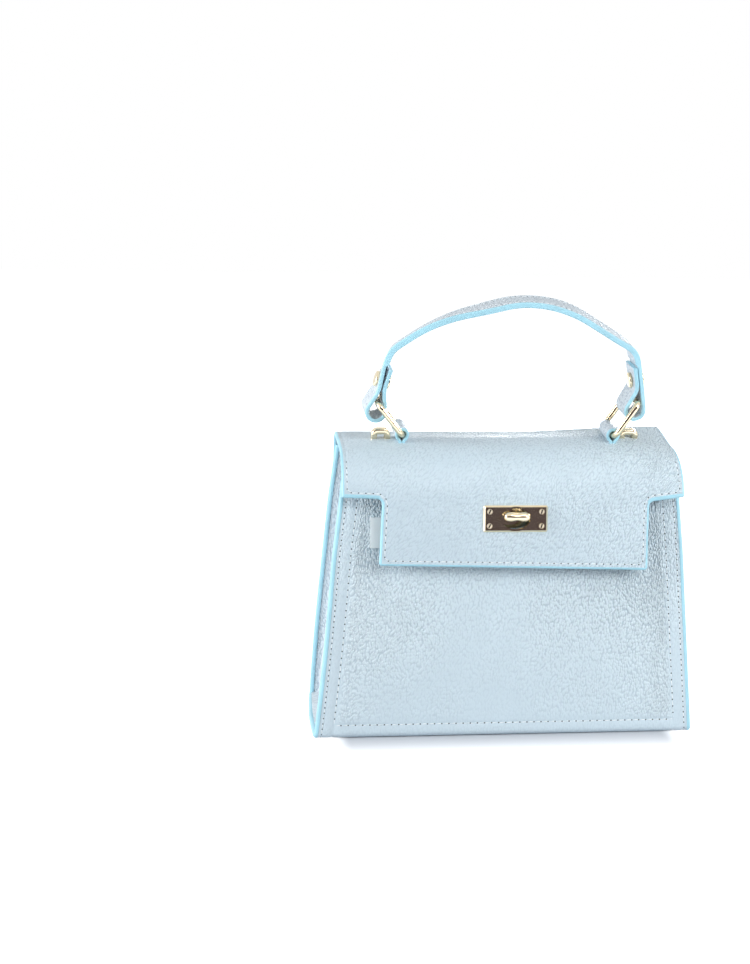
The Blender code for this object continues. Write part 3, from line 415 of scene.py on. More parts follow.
def pebbled(name, colour, shade, size, slant, depth, roughness, full, fuller=(0, 0, 0),
            level=0):
    """Shrunken calf, drum-dyed: small domed pebbles, a little longer than wide, that drift in
    direction. The thin crease lines between them are painted darker, as painted shade, and the
    pebble tops lighter, as painted highlight; the tops are also less rough and catch a satin
    sheen. The grain, and with it that painted shade and highlight, is fuller to the right, to
    both sides and away from a level by the shares in fuller, and pressed flat along the seams."""
    made, tree = new_material(name)
    cut = add(tree, "UVMap", uv_map="cut").outputs[0]
    drift = add(tree, "TexNoise", {
        "Vector": cut, "Scale": 1 / (24 * MM), "Detail": 2,
    }, noise_dimensions="2D")
    centred = add(tree, "VectorMath", {
        0: drift.outputs["Color"], 1: (0.5, 0.5, 0.5),
    }, operation="SUBTRACT")
    swayed = add(tree, "VectorMath", {
        0: centred.outputs[0], 1: (7 * MM, 3 * MM, 0), 2: cut,
    }, operation="MULTIPLY_ADD")
    apart = add(tree, "SeparateXYZ", {0: swayed.outputs[0]}).outputs
    leant = add(tree, "Math", {
        0: apart[1], 1: -slant, 2: apart[0],
    }, operation="MULTIPLY_ADD")
    squeezed = add(tree, "VectorMath", {
        0: add(tree, "CombineXYZ", {0: leant.outputs[0], 1: apart[1]}).outputs[0],
        1: (1 / size[0], 1 / size[1], 1),
    }, operation="MULTIPLY")
    pebbles = add(tree, "TexVoronoi", {
        "Vector": squeezed.outputs[0], "Scale": 1, "Randomness": 0.9,
    }, voronoi_dimensions="2D")
    tops = add(tree, "MapRange", {
        "Value": pebbles.outputs["Distance"],
        "From Min": 0.8, "From Max": 0.05, "To Min": 0, "To Max": 1,
    }, interpolation_type="SMOOTHSTEP")
    pores = add(tree, "TexNoise", {
        "Vector": cut, "Scale": 1 / (0.8 * MM), "Detail": 2,
    }, noise_dimensions="2D")
    rough_height = add(tree, "Math", {
        0: pores.outputs[0], 1: 0.3, 2: tops.outputs[0],
    }, operation="MULTIPLY_ADD")
    patches = add(tree, "TexNoise", {
        "Vector": cut, "Scale": 1 / (45 * MM), "Detail": 2,
    }, noise_dimensions="2D")
    patchy = add(tree, "MapRange", {
        "Value": patches.outputs[0], "From Min": 0.32, "From Max": 0.68,
        "To Min": full - 0.15, "To Max": full + 0.15,
    })
    both_sides = add(tree, "Math", {0: apart[0]}, operation="ABSOLUTE")
    above = add(tree, "Math", {0: apart[1], 1: level}, operation="SUBTRACT")
    both_ways = add(tree, "Math", {0: above.outputs[0]}, operation="ABSOLUTE")
    places = add(tree, "CombineXYZ", {
        0: apart[0], 1: both_sides.outputs[0], 2: both_ways.outputs[0],
    })
    by_place = add(tree, "VectorMath", {
        0: places.outputs[0], 1: [share / 0.1 for share in fuller],
    }, operation="DOT_PRODUCT")
    wanted = add(tree, "Math", {
        0: patchy.outputs[0], 1: by_place.outputs["Value"],
    }, operation="ADD")
    pressed = add(tree, "Attribute", attribute_name="pressed")
    left_over = add(tree, "Math", {
        0: pressed.outputs["Fac"], 1: -0.8, 2: wanted.outputs[0],
    }, operation="MULTIPLY_ADD")
    fullness = add(tree, "Clamp", {0: left_over.outputs[0], 1: 0.15, 2: 1.6})
    height = add(tree, "Math", {
        0: rough_height.outputs[0], 1: fullness.outputs[0],
    }, operation="MULTIPLY")
    bump = add(tree, "Bump", {
        "Strength": 1, "Distance": depth, "Height": height.outputs[0],
    })
    # Painted light: the crease lines take the darker colour as painted shade and the pebble tops
    # the lighter one as painted highlight, both stronger where the grain is fuller.
    painted_relief_light = add(tree, "MapRange", {
        "Value": tops.outputs[0], "From Min": 0, "From Max": 0.5, "To Min": 0.25, "To Max": -0.36,
    }, interpolation_type="SMOOTHSTEP")
    darker = add(tree, "Math", {
        0: painted_relief_light.outputs[0], 1: fullness.outputs[0], 2: 0.35,
    }, operation="MULTIPLY_ADD")
    tint = add(tree, "Mix", {
        0: darker.outputs[0], 6: paint(colour), 7: paint(shade),
    }, data_type="RGBA")
    worn = add(tree, "MapRange", {
        "Value": tops.outputs[0], "From Min": 0, "From Max": 1,
        "To Min": roughness + 0.2, "To Max": roughness,
    })
    shader = add(tree, "BsdfPrincipled", {
        "Base Color": tint.outputs[2], "Roughness": worn.outputs[0], "Normal": bump.outputs[0],
        "IOR": 1.47,
    })
    add(tree, "OutputMaterial", {"Surface": shader.outputs[0]})
    return made


# The lighter colour is painted highlight on the pebble tops, the darker one painted shade in the
# crease lines. Grain and painted shade grow fuller up front and back and towards the sides, which
# darkens the notches under the wings with painted shade as well as grain.
coarse_calf = pebbled(
    "coarse shrunken calf", "#DBEBF3", "#9DB1BF", (1.15 * MM, 2.2 * MM), 0.15, 0.8 * MM, 0.3,
    -0.32, (0.12, 0.65, 0.66), BASE_MIDDLE,
)
body_track = Track(body_line())


def on_body(station, across, out):
    """A point of the worn body, from the flat sheet."""
    spot = body_track.at(station, out)
    across *= stretch(1 if across > 0 else -1, spot.x, max(spot.y, 0))
    return Vector((across, spot.x, spot.y))


def ease(share):
    """Runs smoothly from 0 to 1, and stays there on both sides."""
    share = min(max(share, 0.0), 1.0)
    return share * share * (3 - 2 * share)


def body_relief(station, from_edge):
    """How far the panel stands out: drawn in along its seams and softly full between them."""
    spot = body_track.at(station)
    out = 0.0
    for seam in (OUTER_SEAM, INNER_SEAM):
        out -= SEAM_DENT * math.exp(-(((from_edge - seam) / SEAM_DENT_WIDTH) ** 2))
    if spot.y > BASE_EDGE_RADIUS:
        foot = math.exp(-(((spot.y - FOOT_SEAM) / SEAM_DENT_WIDTH) ** 2))
        out -= SEAM_DENT * foot * (from_edge > INNER_SEAM)
    if spot.y > FOOT_SEAM:
        full = ease((from_edge - INNER_SEAM) / PANEL_CROWN_REACH)
        out += PANEL_CROWN * full * ease((spot.y - FOOT_SEAM) / PANEL_CROWN_REACH)
    return out


def half_at(station):
    """Half the wrap's width, its bowed base included."""
    spot = body_track.at(station)
    return half_width(spot.y) + foot_bulge(spot.x, spot.y)


def wrap_section(station):
    half = half_at(station)
    from_edge = [
        SEAM_ROLL, 2.3 * MM, 2.9 * MM, OUTER_SEAM, 4.3 * MM, 5 * MM, 7 * MM, 9 * MM, 9.6 * MM,
        INNER_SEAM, 10.8 * MM, 11.5 * MM, 14 * MM, 20 * MM, 28 * MM, 38 * MM, 50 * MM, 65 * MM,
        80 * MM,
    ]
    left = [(edge - half, body_relief(station, edge), 0) for edge in from_edge]
    middle = [(0, body_relief(station, half), 0)]
    right = [(-across, out, 0) for across, out, _ in reversed(left)]
    inside = [(across, -WRAP_LEATHER, 0) for across in (half - SEAM_ROLL, 0, SEAM_ROLL - half)]
    return left + middle + right + inside


back_foot = (BACK_HEIGHT - FOOT_SEAM) / math.cos(WALL_TILT)
front_foot = body_track.length - (FRONT_HEIGHT - FOOT_SEAM) / math.cos(WALL_TILT)
wrap_stations = sorted(set(body_track.stations(3 * MM)) | {
    foot + k * MM for foot in (back_foot, front_foot) for k in (-2, -1.1, -0.5, 0, 0.5, 1.1, 2)
})
bm = sweep(wrap_stations, wrap_section, on_body)
pressed = bm.verts.layers.float.new("pressed")
cut = bm.loops.layers.uv["cut"]
for face in bm.faces:
    for corner in face.loops:
        across, station = corner[cut].uv
        from_seam = min(half_at(station) - abs(across) - INNER_SEAM,
                        abs(body_track.at(station).y) - FOOT_SEAM)
        corner.vert[pressed] = 1 - ease((from_seam + 0.5 * MM) / (4 * MM))
wrap = piece("wrap_leather", bm, coarse_calf)
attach(wrap, "bag")
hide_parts("body_wrap")

# Painted side edges
# Where wrap and gusset meet, both edges are sanded round together and painted in many thin
# coats of acrylic edge paint: a smooth roll of 3.6 mm that shines a little and is brighter blue.
SIDES = ((-1, "left"), (1, "right"))


def edge_paint(name, colour):
    """Acrylic edge paint over sanded leather: a smooth satin skin with faint waves in it."""
    made, tree = new_material(name)
    spot = add(tree, "TexCoord").outputs["Object"]
    waves = add(tree, "TexNoise", {
        "Vector": spot, "Scale": 1 / (3 * MM), "Detail": 2,
    })
    bump = add(tree, "Bump", {
        "Strength": 0.3, "Distance": 0.1 * MM, "Height": waves.outputs[0],
    })
    coats = add(tree, "TexNoise", {"Vector": spot, "Scale": 1 / (14 * MM)})
    tone = add(tree, "HueSaturation", {
        "Color": paint(colour), "Saturation": 1, "Value": add(tree, "MapRange", {
            "Value": coats.outputs[0], "From Min": 0.3, "From Max": 0.7,
            "To Min": 0.94, "To Max": 1.04,
        }).outputs[0],
    })
    shader = add(tree, "BsdfPrincipled", {
        "Base Color": tone.outputs[0], "Roughness": 0.35, "IOR": 1.49,
        "Normal": bump.outputs[0],
    })
    add(tree, "OutputMaterial", {"Surface": shader.outputs[0]})
    return made


blue_paint = edge_paint("satin acrylic edge paint", "#ABDDED")


def roll_section(side):
    def section(station):
        bead = SEAM_BEAD - REAR_BEAD_LESS * ease(body_track.at(station).x / (10 * MM))
        centre = half_at(station) - SEAM_ROLL + bead
        lip = SEAM_ROLL + 0.06 * MM
        points = [(centre - 0.7 * MM, 0.02 * MM), (centre - 0.5 * MM, 0.07 * MM)]
        for k in range(13):
            turn = math.pi * (0.5 - k / 12)
            points.append((
                centre + SEAM_ROLL * math.cos(turn), lip * math.sin(turn) - SEAM_ROLL,
            ))
        points += [(centre - 0.5 * MM, -lip - SEAM_ROLL), (centre - 0.7 * MM, -2 * SEAM_ROLL)]
        return [(side * across, out, 0) for across, out in points]
    return section


for side, label in SIDES:
    bm = sweep(body_track.stations(4 * MM), roll_section(side), on_body)
    roll = piece("painted_edge_" + label, bm, blue_paint)
    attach(roll, "bag")

# Seams
# Saddle stitching in waxed linen thread. Each stitch sinks at both ends into a pricked hole
# and lies a little aslant.
THREAD_RADIUS = 0.28 * MM
HOLE_RADIUS = 0.46 * MM
STITCH_SLANT = 0.22 * MM
STITCH_PITCH = 4.2 * MM


def patterned(name, colours, roughness, kind, inputs, relief=None, ior=1.5, **settings):
    """A material with one fine pattern. It runs between two colours and, where relief gives a
    strength and a height, stands out by it."""
    made, tree = new_material(name)
    spot = add(tree, "TexCoord").outputs["Object"]
    pattern = add(tree, kind, {"Vector": spot, **inputs}, **settings).outputs[0]
    tint = add(tree, "Mix", {
        0: pattern, 6: paint(colours[0]), 7: paint(colours[1]),
    }, data_type="RGBA")
    skin_values = {"Base Color": tint.outputs[2], "Roughness": roughness, "IOR": ior}
    if relief:
        bump = add(tree, "Bump", {"Strength": relief[0], "Distance": relief[1], "Height": pattern})
        skin_values["Normal"] = bump.outputs[0]
    shader = add(tree, "BsdfPrincipled", skin_values)
    add(tree, "OutputMaterial", {"Surface": shader.outputs[0]})
    return made


# Two plies twisted every 1.2 mm, matt with a little wax shine
linen = patterned(
    "waxed linen thread", ("#D3E0E7", "#F2F8FA"), 0.55, "TexWave",
    {"Scale": 1 / (1.2 * MM) / 6.28, "Distortion": 1}, (0.6, 0.08 * MM), 1.47,
    bands_direction="DIAGONAL",
)
# The leather's cut fibres in deep shade at the bottom of an awl hole
awl_hole = patterned(
    "pricked leather hole", ("#353D43", "#56626A"), 0.9, "TexNoise", {"Scale": 1 / (0.3 * MM)},
)


def stitch_line(spots, pitch=STITCH_PITCH):
    """Spots spread evenly along a 3D line of (point, outward) pairs, about a pitch apart."""
    lengths = [0.0]
    for (before, _), (after, _) in zip(spots, spots[1:]):
        lengths.append(lengths[-1] + (after - before).length)
    count = max(2, round(lengths[-1] / pitch))
    found = []
    i = 0
    for k in range(count + 1):
        length = lengths[-1] * k / count
        while i < len(spots) - 2 and lengths[i + 1] < length:
            i += 1
        share = (length - lengths[i]) / (lengths[i + 1] - lengths[i])
        found.append((
            spots[i][0].lerp(spots[i + 1][0], share),
            spots[i][1].lerp(spots[i + 1][1], share).normalized(),
        ))
    return found


def sew(bm, spots, hole=HOLE_RADIUS):
    """Adds the stitches and the holes of one row to a mesh."""
    for (start, outward), (end, _) in zip(spots, spots[1:]):
        along = (end - start).normalized()
        across = outward.cross(along).normalized()
        inset = 0.55 * hole
        first = start + along * inset - across * STITCH_SLANT
        last = end - along * inset + across * STITCH_SLANT
        rings = []
        for share, rise, girth in (
            (0, -0.8, 0.55), (0.12, -0.1, 0.9), (0.35, 0.2, 1), (0.65, 0.2, 1),
            (0.88, -0.1, 0.9), (1, -0.8, 0.55),
        ):
            centre = first.lerp(last, share) + outward * THREAD_RADIUS * rise
            rings.append([bm.verts.new(
                centre + (across * math.cos(t) + outward * math.sin(t)) * THREAD_RADIUS * girth
            ) for t in around(8)])
        skin(bm, rings)
        bm.faces.new(rings[0])
        bm.faces.new(rings[-1])
    for (point, outward), (following, _) in zip(spots, spots[1:] + spots[-2:-1]):
        along = (following - point).normalized()
        across = outward.cross(along).normalized()
        rim = [bm.verts.new(
            point + outward * 0.06 * MM
            + (along * math.cos(t) + across * math.sin(t)) * hole
        ) for t in around(10)]
        top = bm.verts.new(point + outward * 0.09 * MM)
        foot = bm.verts.new(point - outward * 0.3 * MM)
        for k in range(10):
            n = (k + 1) % 10
            for tip in (top, foot):
                bm.faces.new((rim[k], rim[n], tip)).material_index = 1


def body_spots(run):
    """(point, outward) pairs from (station, across) pairs on the body wrap."""
    found = []
    for station, across in run:
        out = body_relief(station, half_at(station) - abs(across))
        point = on_body(station, across, out)
        found.append((point, (on_body(station, across, out + MM) - point).normalized()))
    return found


bm = bmesh.new()
for side in (-1, 1):
    stations = body_track.stations(3 * MM)
    edge_run = [(s, side * (half_at(s) - OUTER_SEAM)) for s in stations]
    sew(bm, stitch_line(body_spots(edge_run), 3.3 * MM))
    for start, end in ((0, back_foot), (body_track.length, front_foot)):
        steps = [start + (end - start) * k / 60 for k in range(61)]
        inner_run = [(s, side * (half_at(s) - INNER_SEAM)) for s in steps]
        sew(bm, stitch_line(body_spots(inner_run)))
for station in (back_foot, front_foot):
    half = half_at(station) - INNER_SEAM
    foot_run = [(station, half * (k / 30 - 1)) for k in range(61)]
    sew(bm, stitch_line(body_spots(foot_run), 4.4 * MM))
seams = piece("body_stitching", bm, linen, awl_hole)
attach(seams, "bag")

# Gussets
# A side panel of softer calf on each side. It is folded inwards in a V at the top so that the
# bag can close, and stands full below. Its flanges are glued and stitched inside the wrap.
FLANGE = 8 * MM
GUSSET_FOLD = 26 * MM
GUSSET_DIP = 3 * MM
GUSSET_BEND = 4 * MM
GUSSET_FULL = 4.5 * MM
GUSSET_FULL_REACH = 15 * MM
GUSSET_REAR_FULL = 1.5 * MM
GUSSET_SLACK = 1.5 * MM
GUSSET_FOLD_ROUND = 0.006
GUSSET_FULL_HEIGHT = 70 * MM
GUSSET_FULL_FADE = 62 * MM
GUSSET_LEATHER = 1.4 * MM
GUSSET_SEAT = WRAP_LEATHER + 0.3 * MM
# Lighter colour: painted highlight on the pebble tops; darker colour: painted crease shade.
gusset_calf = pebbled(
    "gusset calf", "#E3EEF5", "#A6B7C6", (1.5 * MM, 2.5 * MM), 0.35, 0.7 * MM, 0.5, 0.8,
)
seat_line = [body_track.at(s, -GUSSET_SEAT - GUSSET_LEATHER) for s in body_track.stations(4 * MM)]


def to_line(point, line):
    """The distance from a 2D point to a line of points."""
    nearest = math.inf
    for a, b in zip(line, line[1:]):
        run = b - a
        share = min(max((point - a).dot(run) / run.dot(run), 0), 1)
        nearest = min(nearest, (a + run * share - point).length)
    return nearest


def seat_depth(height, toward):
    """How far forward or back the gusset's edge lies at a height."""
    for a, b in zip(seat_line, seat_line[1:]):
        middle = (a + b) / 2
        if middle.x * toward > 0 and min(a.y, b.y) <= height <= max(a.y, b.y) and a.y != b.y:
            return a.lerp(b, (height - a.y) / (b.y - a.y)).x
    return toward * (half_depth(height) - GUSSET_SEAT - GUSSET_LEATHER)


def gusset_point(side, height, share):
    """A point of the panel; share runs from 0 at the front to 1 at the back."""
    front = seat_depth(height, -1)
    back = seat_depth(height, 1)
    y = front + (back - front) * share
    away = to_line(Vector((y, height)), seat_line)
    bend = max(GUSSET_BEND - away, 0)
    turned_in = GUSSET_BEND - math.sqrt(max(GUSSET_BEND ** 2 - bend ** 2, 0))
    spread = abs(2 * share - 1)
    folded = 1 - math.sqrt(spread ** 2 + GUSSET_FOLD_ROUND)
    folded += math.sqrt(GUSSET_FOLD_ROUND) * spread
    rise = ease(height / BACK_HEIGHT * 0.5) * 2
    x = half_width(height) - FLANGE - folded * GUSSET_FOLD * rise + turned_in
    slack = GUSSET_SLACK * math.sin(math.pi * spread) * rise
    x += slack + foot_bulge(y, height)
    low = 1 - ease((height - GUSSET_FULL_HEIGHT) / GUSSET_FULL_FADE)
    x += GUSSET_FULL * low * ease(away / GUSSET_FULL_REACH)
    x += GUSSET_REAR_FULL * (1 - low) * ease(away / (5 * MM)) * ease(share / 0.3 - 1.7)
    x *= stretch(side, y, height)
    return Vector((side * x, y, height - folded * GUSSET_DIP * rise))


low = seat_line[len(seat_line) // 2].y
heights = [low + 0.4 * MM, low + 1.2 * MM, low + 2.4 * MM, low + 4 * MM, low + 6 * MM]
heights += [low + (9 + 6.3 * k) * MM for k in range(25)]
heights = [h for h in heights if h < BACK_HEIGHT - 3 * MM] + [BACK_HEIGHT - 1.5 * MM]
shares = [0, 0.01, 0.03, 0.06, 0.1, 0.16, 0.23, 0.3, 0.37, 0.42, 0.46, 0.48, 0.5]
shares += [1 - share for share in reversed(shares[:-1])]
for side, label in SIDES:
    bm = bmesh.new()
    cut = bm.loops.layers.uv.new("cut")
    rows = [[bm.verts.new(gusset_point(side, h, share)) for share in shares] for h in heights]
    panel = []
    for here, there in zip(rows, rows[1:]):
        for k in range(len(shares) - 1):
            panel.append(bm.faces.new((here[k], here[k + 1], there[k + 1], there[k])))
    rim = [row[0] for row in reversed(rows)] + rows[0][1:-1] + [row[-1] for row in rows]
    flange = []
    for v in rim:
        width = half_width(v.co.z) + foot_bulge(v.co.y, v.co.z) - MM
        width *= stretch(side, v.co.y, v.co.z)
        flange.append(bm.verts.new((side * width, v.co.y, v.co.z)))
    for k in range(len(rim) - 1):
        panel.append(bm.faces.new((rim[k], rim[k + 1], flange[k + 1], flange[k])))
    flat = {}
    for row in rows:
        length = 0.0
        for here, there in zip(row, row[1:] + row[-1:]):
            flat[here] = Vector((length - half_depth(here.co.z), here.co.z))
            length += (there.co - here.co).length
    for inner, outer in zip(rim, flange):
        apart = (outer.co - inner.co).length
        across = -apart if inner.co.y < -0.02 else apart if inner.co.y > 0.02 else 0
        flat[outer] = flat[inner] + Vector((across, 0 if across else -apart))
    for face in panel:
        for corner in face.loops:
            corner[cut].uv = flat[corner.vert]
    bmesh.ops.recalc_face_normals(bm, faces=bm.faces[:])
    middle = rows[len(rows) // 2][len(shares) // 2]
    if middle.normal.x * side < 0:
        bmesh.ops.reverse_faces(bm, faces=bm.faces[:])
    panel = new_piece("gusset_panel_" + label, bm, gusset_calf)
    panel.data.shade_smooth()
    thick = panel.modifiers.new("leather thickness", "SOLIDIFY")
    thick.thickness = GUSSET_LEATHER
    thick.offset = -1
    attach(panel, "bag")
    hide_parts("gusset_" + label)

# Flap
# Calf with a finer grain, board and lining glued into one stiff sheet of 3 mm, cut with two
# short wings and a wide tongue. It folds over from the back, and its edge is painted all round.
FLAP_THICK = 3 * MM
FLAP_WIDTH = 206 * MM
TONGUE_WIDTH = 163 * MM
TONGUE_BOTTOM_HEIGHT = 106 * MM
TONGUE_CORNER = 1.8 * MM
NOTCH_CORNER = 3.2 * MM
WING_CORNER = 1.2 * MM
WING_SLANT = 2.8 * MM
LEFT_WING_SLANT = 1 * MM
LEFT_TONGUE_LESS = (2.4 * MM, 0.9 * MM)
FLAP_STANDOFF = 10.5 * MM
FLAP_TOP_HEIGHT = 180 * MM
FLAP_SLOPE = math.radians(8)
FRONT_FOLD_RADIUS = 30 * MM
BACK_FOLD_RADIUS = 5 * MM
BACK_STRIP_BOTTOM = 140 * MM
BACK_STRIP_LEATHER = 1.3 * MM
FLAP_SEAM = 3.2 * MM
FLAP_SEAM_DENT = 0.28 * MM
TOP_DOME = 2.1 * MM
DOME_REACH = 20 * MM
DOME_REAR_HASTE = 1.7
TONGUE_HANG = 0.9 * MM
TONGUE_HANG_SLANT = 1.9 * MM
TONGUE_SWELL = 0.5 * MM
FLARE = 1.004
FRONT_FLARE = 0.009
REAR_RIGHT_LIFT = 4 * MM
REAR_SINK = 0.9 * MM
LOCK_HEIGHT = 135.1 * MM
SLOT_WIDTH = 17.6 * MM
SLOT_HEIGHT = 12.6 * MM
HOLE_MARGIN = 1.4 * MM
FOLD_STEPS = 18
EDGE_STEPS = 10


def wall_point(height, out):
    """A point on the front wall, then outwards at right angles to it, as (y, z)."""
    return Vector((-half_depth(height), height)) + out * Vector((
        -math.cos(WALL_TILT), math.sin(WALL_TILT)))


def flap_line():
    """The flap's outer face, from the tongue's bottom over the top to the back strip."""
    tongue = wall_point(TONGUE_BOTTOM_HEIGHT, FLAP_STANDOFF)
    up = Vector((math.sin(WALL_TILT), math.cos(WALL_TILT)))
    clear = 0.3 * MM + BACK_STRIP_LEATHER
    back = Vector((half_depth(BACK_STRIP_BOTTOM), BACK_STRIP_BOTTOM))
    back += Vector((math.cos(WALL_TILT), math.sin(WALL_TILT))) * clear
    rise = FLAP_TOP_HEIGHT - back.y
    back_top = back + Vector((-math.tan(WALL_TILT) * rise, rise))
    run = Vector((-math.cos(FLAP_SLOPE), -math.sin(FLAP_SLOPE)))
    front_top = tongue + up * ((back_top - tongue).cross(run) / up.cross(run))
    return rounded(
        (tongue, front_top, back_top, back), (0, FRONT_FOLD_RADIUS, BACK_FOLD_RADIUS, 0),
        FOLD_STEPS,
    )


flap_track = Track(flap_line())
front_fold = (flap_track.lengths[1], flap_track.lengths[1 + FOLD_STEPS])
back_fold = (flap_track.lengths[2 + FOLD_STEPS], flap_track.lengths[2 + 2 * FOLD_STEPS])
flap_split = (0.25 * front_fold[1] + 0.75 * back_fold[0])
wing_start = (WING_BOTTOM_HEIGHT - TONGUE_BOTTOM_HEIGHT) / math.cos(WALL_TILT)
top_start = flap_track.points[1 + FOLD_STEPS]
top_run = (flap_track.points[2 + FOLD_STEPS] - top_start).normalized()
tab_station = front_fold[1] - top_start.x / top_run.x


def tongue_chain(margin):
    """The front part's edge at a margin, from one side of the split to the other."""
    tongue = TONGUE_WIDTH / 2 - margin
    wing = FLAP_WIDTH / 2 - margin
    notch = wing_start + margin
    inner = notch - WING_SLANT
    high_left, low_left = (less - tongue for less in LEFT_TONGUE_LESS)
    corners = (
        (wing, flap_split), (wing, notch), (tongue, inner), (tongue, margin),
        (low_left, margin), (high_left, notch - LEFT_WING_SLANT), (-wing, notch),
        (-wing, flap_split),
    )
    small = 0.3 * MM
    bottom = max(TONGUE_CORNER - margin, small)
    ends = max(WING_CORNER - margin, small)
    return rounded(corners, (0, ends, NOTCH_CORNER + margin, bottom, bottom,
                             NOTCH_CORNER + margin, ends, 0), 8)


def strip_chain(margin):
    """The rear part's edge at a margin, down the back strip and up again."""
    wing = FLAP_WIDTH / 2 - margin
    end = flap_track.length - margin
    small = max(WING_CORNER - margin, 0.3 * MM)
    corners = ((-wing, flap_split), (-wing, end), (wing, end), (wing, flap_split))
    return rounded(corners, (0, small, small, 0), 8)


def flap_thickness(station):
    """The sheet thins to its leather alone below the back fold."""
    share = ease((station - back_fold[0]) / (back_fold[1] - back_fold[0]))
    return 1 + (BACK_STRIP_LEATHER / FLAP_THICK - 1) * share


def top_dome(across, station):
    """The top is padded: it stands up round the tabs, which lie down on it."""
    behind = station > tab_station
    haste = DOME_REAR_HASTE if behind else 1
    dome = math.exp(-(((station - tab_station) / DOME_REACH * haste) ** 2))
    return TOP_DOME * dome * ease((FLAP_WIDTH / 2 - abs(across)) / DOME_REACH)


def on_flap(across, station, out):
    """A point of the bent flap. The wings and the tongue flare a little, the tongue hangs
    lower on its right, and the right rear corner stands higher, as on the real bag."""
    thickness = flap_thickness(station)
    down = max(1 - station / wing_start, 0)
    station -= (TONGUE_HANG + TONGUE_HANG_SLANT * across / (TONGUE_WIDTH / 2)) * down
    spot = flap_track.at(station, out * thickness)
    before = ease((back_fold[0] - station) / (back_fold[0] - front_fold[0]))
    flare = FLARE + FRONT_FLARE * before
    behind = ease((station - front_fold[1]) / (back_fold[0] - front_fold[1]))
    behind *= ease((flap_track.length - station) / (flap_track.length - back_fold[1]))
    lift = (REAR_RIGHT_LIFT * ease(across / (FLAP_WIDTH / 2)) - REAR_SINK) * behind
    lift += top_dome(across, station)
    return Vector((across * flare, spot.x, spot.y + lift))


def flat_slab(chain, rows, columns):
    """The flap sheet still flat on the bench: outer face, round painted rim and lining."""
    bm = bmesh.new()
    radius = FLAP_THICK / 2
    levels = []
    for k in range(EDGE_STEPS + 1):
        turn = math.pi * (k / EDGE_STEPS - 0.5)
        levels.append((radius * (1 - math.cos(turn)), radius * (math.sin(turn) - 1), 1))
    levels[-1] = (radius, 0, 0)
    levels += [
        (2.2 * MM, 0, 0), (2.8 * MM, -0.7 * FLAP_SEAM_DENT, 0),
        (FLAP_SEAM, -FLAP_SEAM_DENT, 0), (3.6 * MM, -0.7 * FLAP_SEAM_DENT, 0),
        (4.2 * MM, -0.06 * MM, 0), (5.2 * MM, 0, 0),
    ]
    rings = []
    for margin, out, fill in levels:
        rings.append(([bm.verts.new((*p, out)) for p in chain(margin)], fill))
    for (here, fill), (there, _) in zip(rings, rings[1:]):
        for k in range(len(here) - 1):
            face = bm.faces.new((here[k], here[k + 1], there[k + 1], there[k]))
            x, y, out = face.calc_center_median()
            wing_lap = out == 0 and abs(x) > TONGUE_WIDTH / 2 - MM and y < wing_start + 2.2 * MM
            face.material_index = 1 if wing_lap else fill
    bm.faces.new(rings[-1][0])
    bm.faces.new(rings[0][0]).material_index = 2
    for axis, places in ((1, rows), (0, columns)):
        for place in places:
            point = [0, 0, 0]
            normal = [0, 0, 0]
            point[axis] = place
            normal[axis] = 1
            bmesh.ops.bisect_plane(
                bm, geom=bm.verts[:] + bm.edges[:] + bm.faces[:], dist=MM / 500,
                plane_co=point, plane_no=normal,
            )
    return bm


def swell(across, station):
    """The tongue is drawn in at its rim and stands a little fuller in the middle."""
    side = ease((TONGUE_WIDTH / 2 - 4 * MM - abs(across)) / (30 * MM))
    length = ease((station - 4 * MM) / (18 * MM))
    length *= ease((front_fold[0] + 30 * MM - station) / (40 * MM))
    return TONGUE_SWELL * side * length


def bend_flap(bm):
    """Bends the flat sheet over the bag and keeps its flat place for the grain."""
    cut = bm.loops.layers.uv.new("cut")
    for face in bm.faces:
        for corner in face.loops:
            corner[cut].uv = corner.vert.co.xy
    for vertex in bm.verts:
        across, station, out = vertex.co
        outer = out > -FLAP_THICK / 2
        vertex.co = on_flap(across, station, out + swell(across, station) * outer)
    return bm


# Lighter colour: painted highlight on the pebble tops; darker colour: painted crease shade.
fine_calf = pebbled(
    "fine shrunken calf", "#D4E5EE", "#9DB1BF", (1.05 * MM, 2.1 * MM), 0.55, 0.55 * MM, 0.3,
    0.6, (0.35, 0, 0),
)


def suede():
    """Goatskin suede lining: a short, soft nap that brushes lighter and darker in patches."""
    made, tree = new_material("goatskin suede lining")
    spot = add(tree, "TexCoord").outputs["Object"]
    nap = add(tree, "TexNoise", {
        "Vector": spot, "Scale": 1 / (0.6 * MM), "Detail": 4,
    })
    brushed = add(tree, "TexNoise", {"Vector": spot, "Scale": 1 / (25 * MM)})
    bump = add(tree, "Bump", {
        "Strength": 0.5, "Distance": 0.15 * MM, "Height": nap.outputs[0],
    })
    tint = add(tree, "Mix", {
        0: brushed.outputs[0], 6: paint("#A8BECB"), 7: paint("#C4D6E0"),
    }, data_type="RGBA")
    shader = add(tree, "BsdfPrincipled", {
        "Base Color": tint.outputs[2], "Roughness": 0.92, "Normal": bump.outputs[0],
        "Sheen Weight": 0.3, "Sheen Roughness": 0.5,
    })
    add(tree, "OutputMaterial", {"Surface": shader.outputs[0]})
    return made


def facing(origin, up):
    """Local X to the right, local Y along up, a (y, z) direction, and local Z facing out."""
    return Matrix((
        (1, 0, 0, 0), (0, up.x, -up.y, origin.x), (0, up.y, up.x, origin.y), (0, 0, 0, 1),
    ))


def lock_cutter():
    """An oval punch, a margin wider than the lock plate's slot."""
    bm = bmesh.new()
    ends = []
    for height in (FLAP_STANDOFF - 8 * MM, FLAP_STANDOFF + 4 * MM):
        ends.append([bm.verts.new(lock_frame @ Vector((
            (SLOT_WIDTH / 2 + HOLE_MARGIN) * math.cos(t),
            (SLOT_HEIGHT / 2 + HOLE_MARGIN) * math.sin(t), height))) for t in around(48)])
    skin(bm, ends)
    for end in ends:
        bm.faces.new(end)
    return piece("lock_punch", bm)


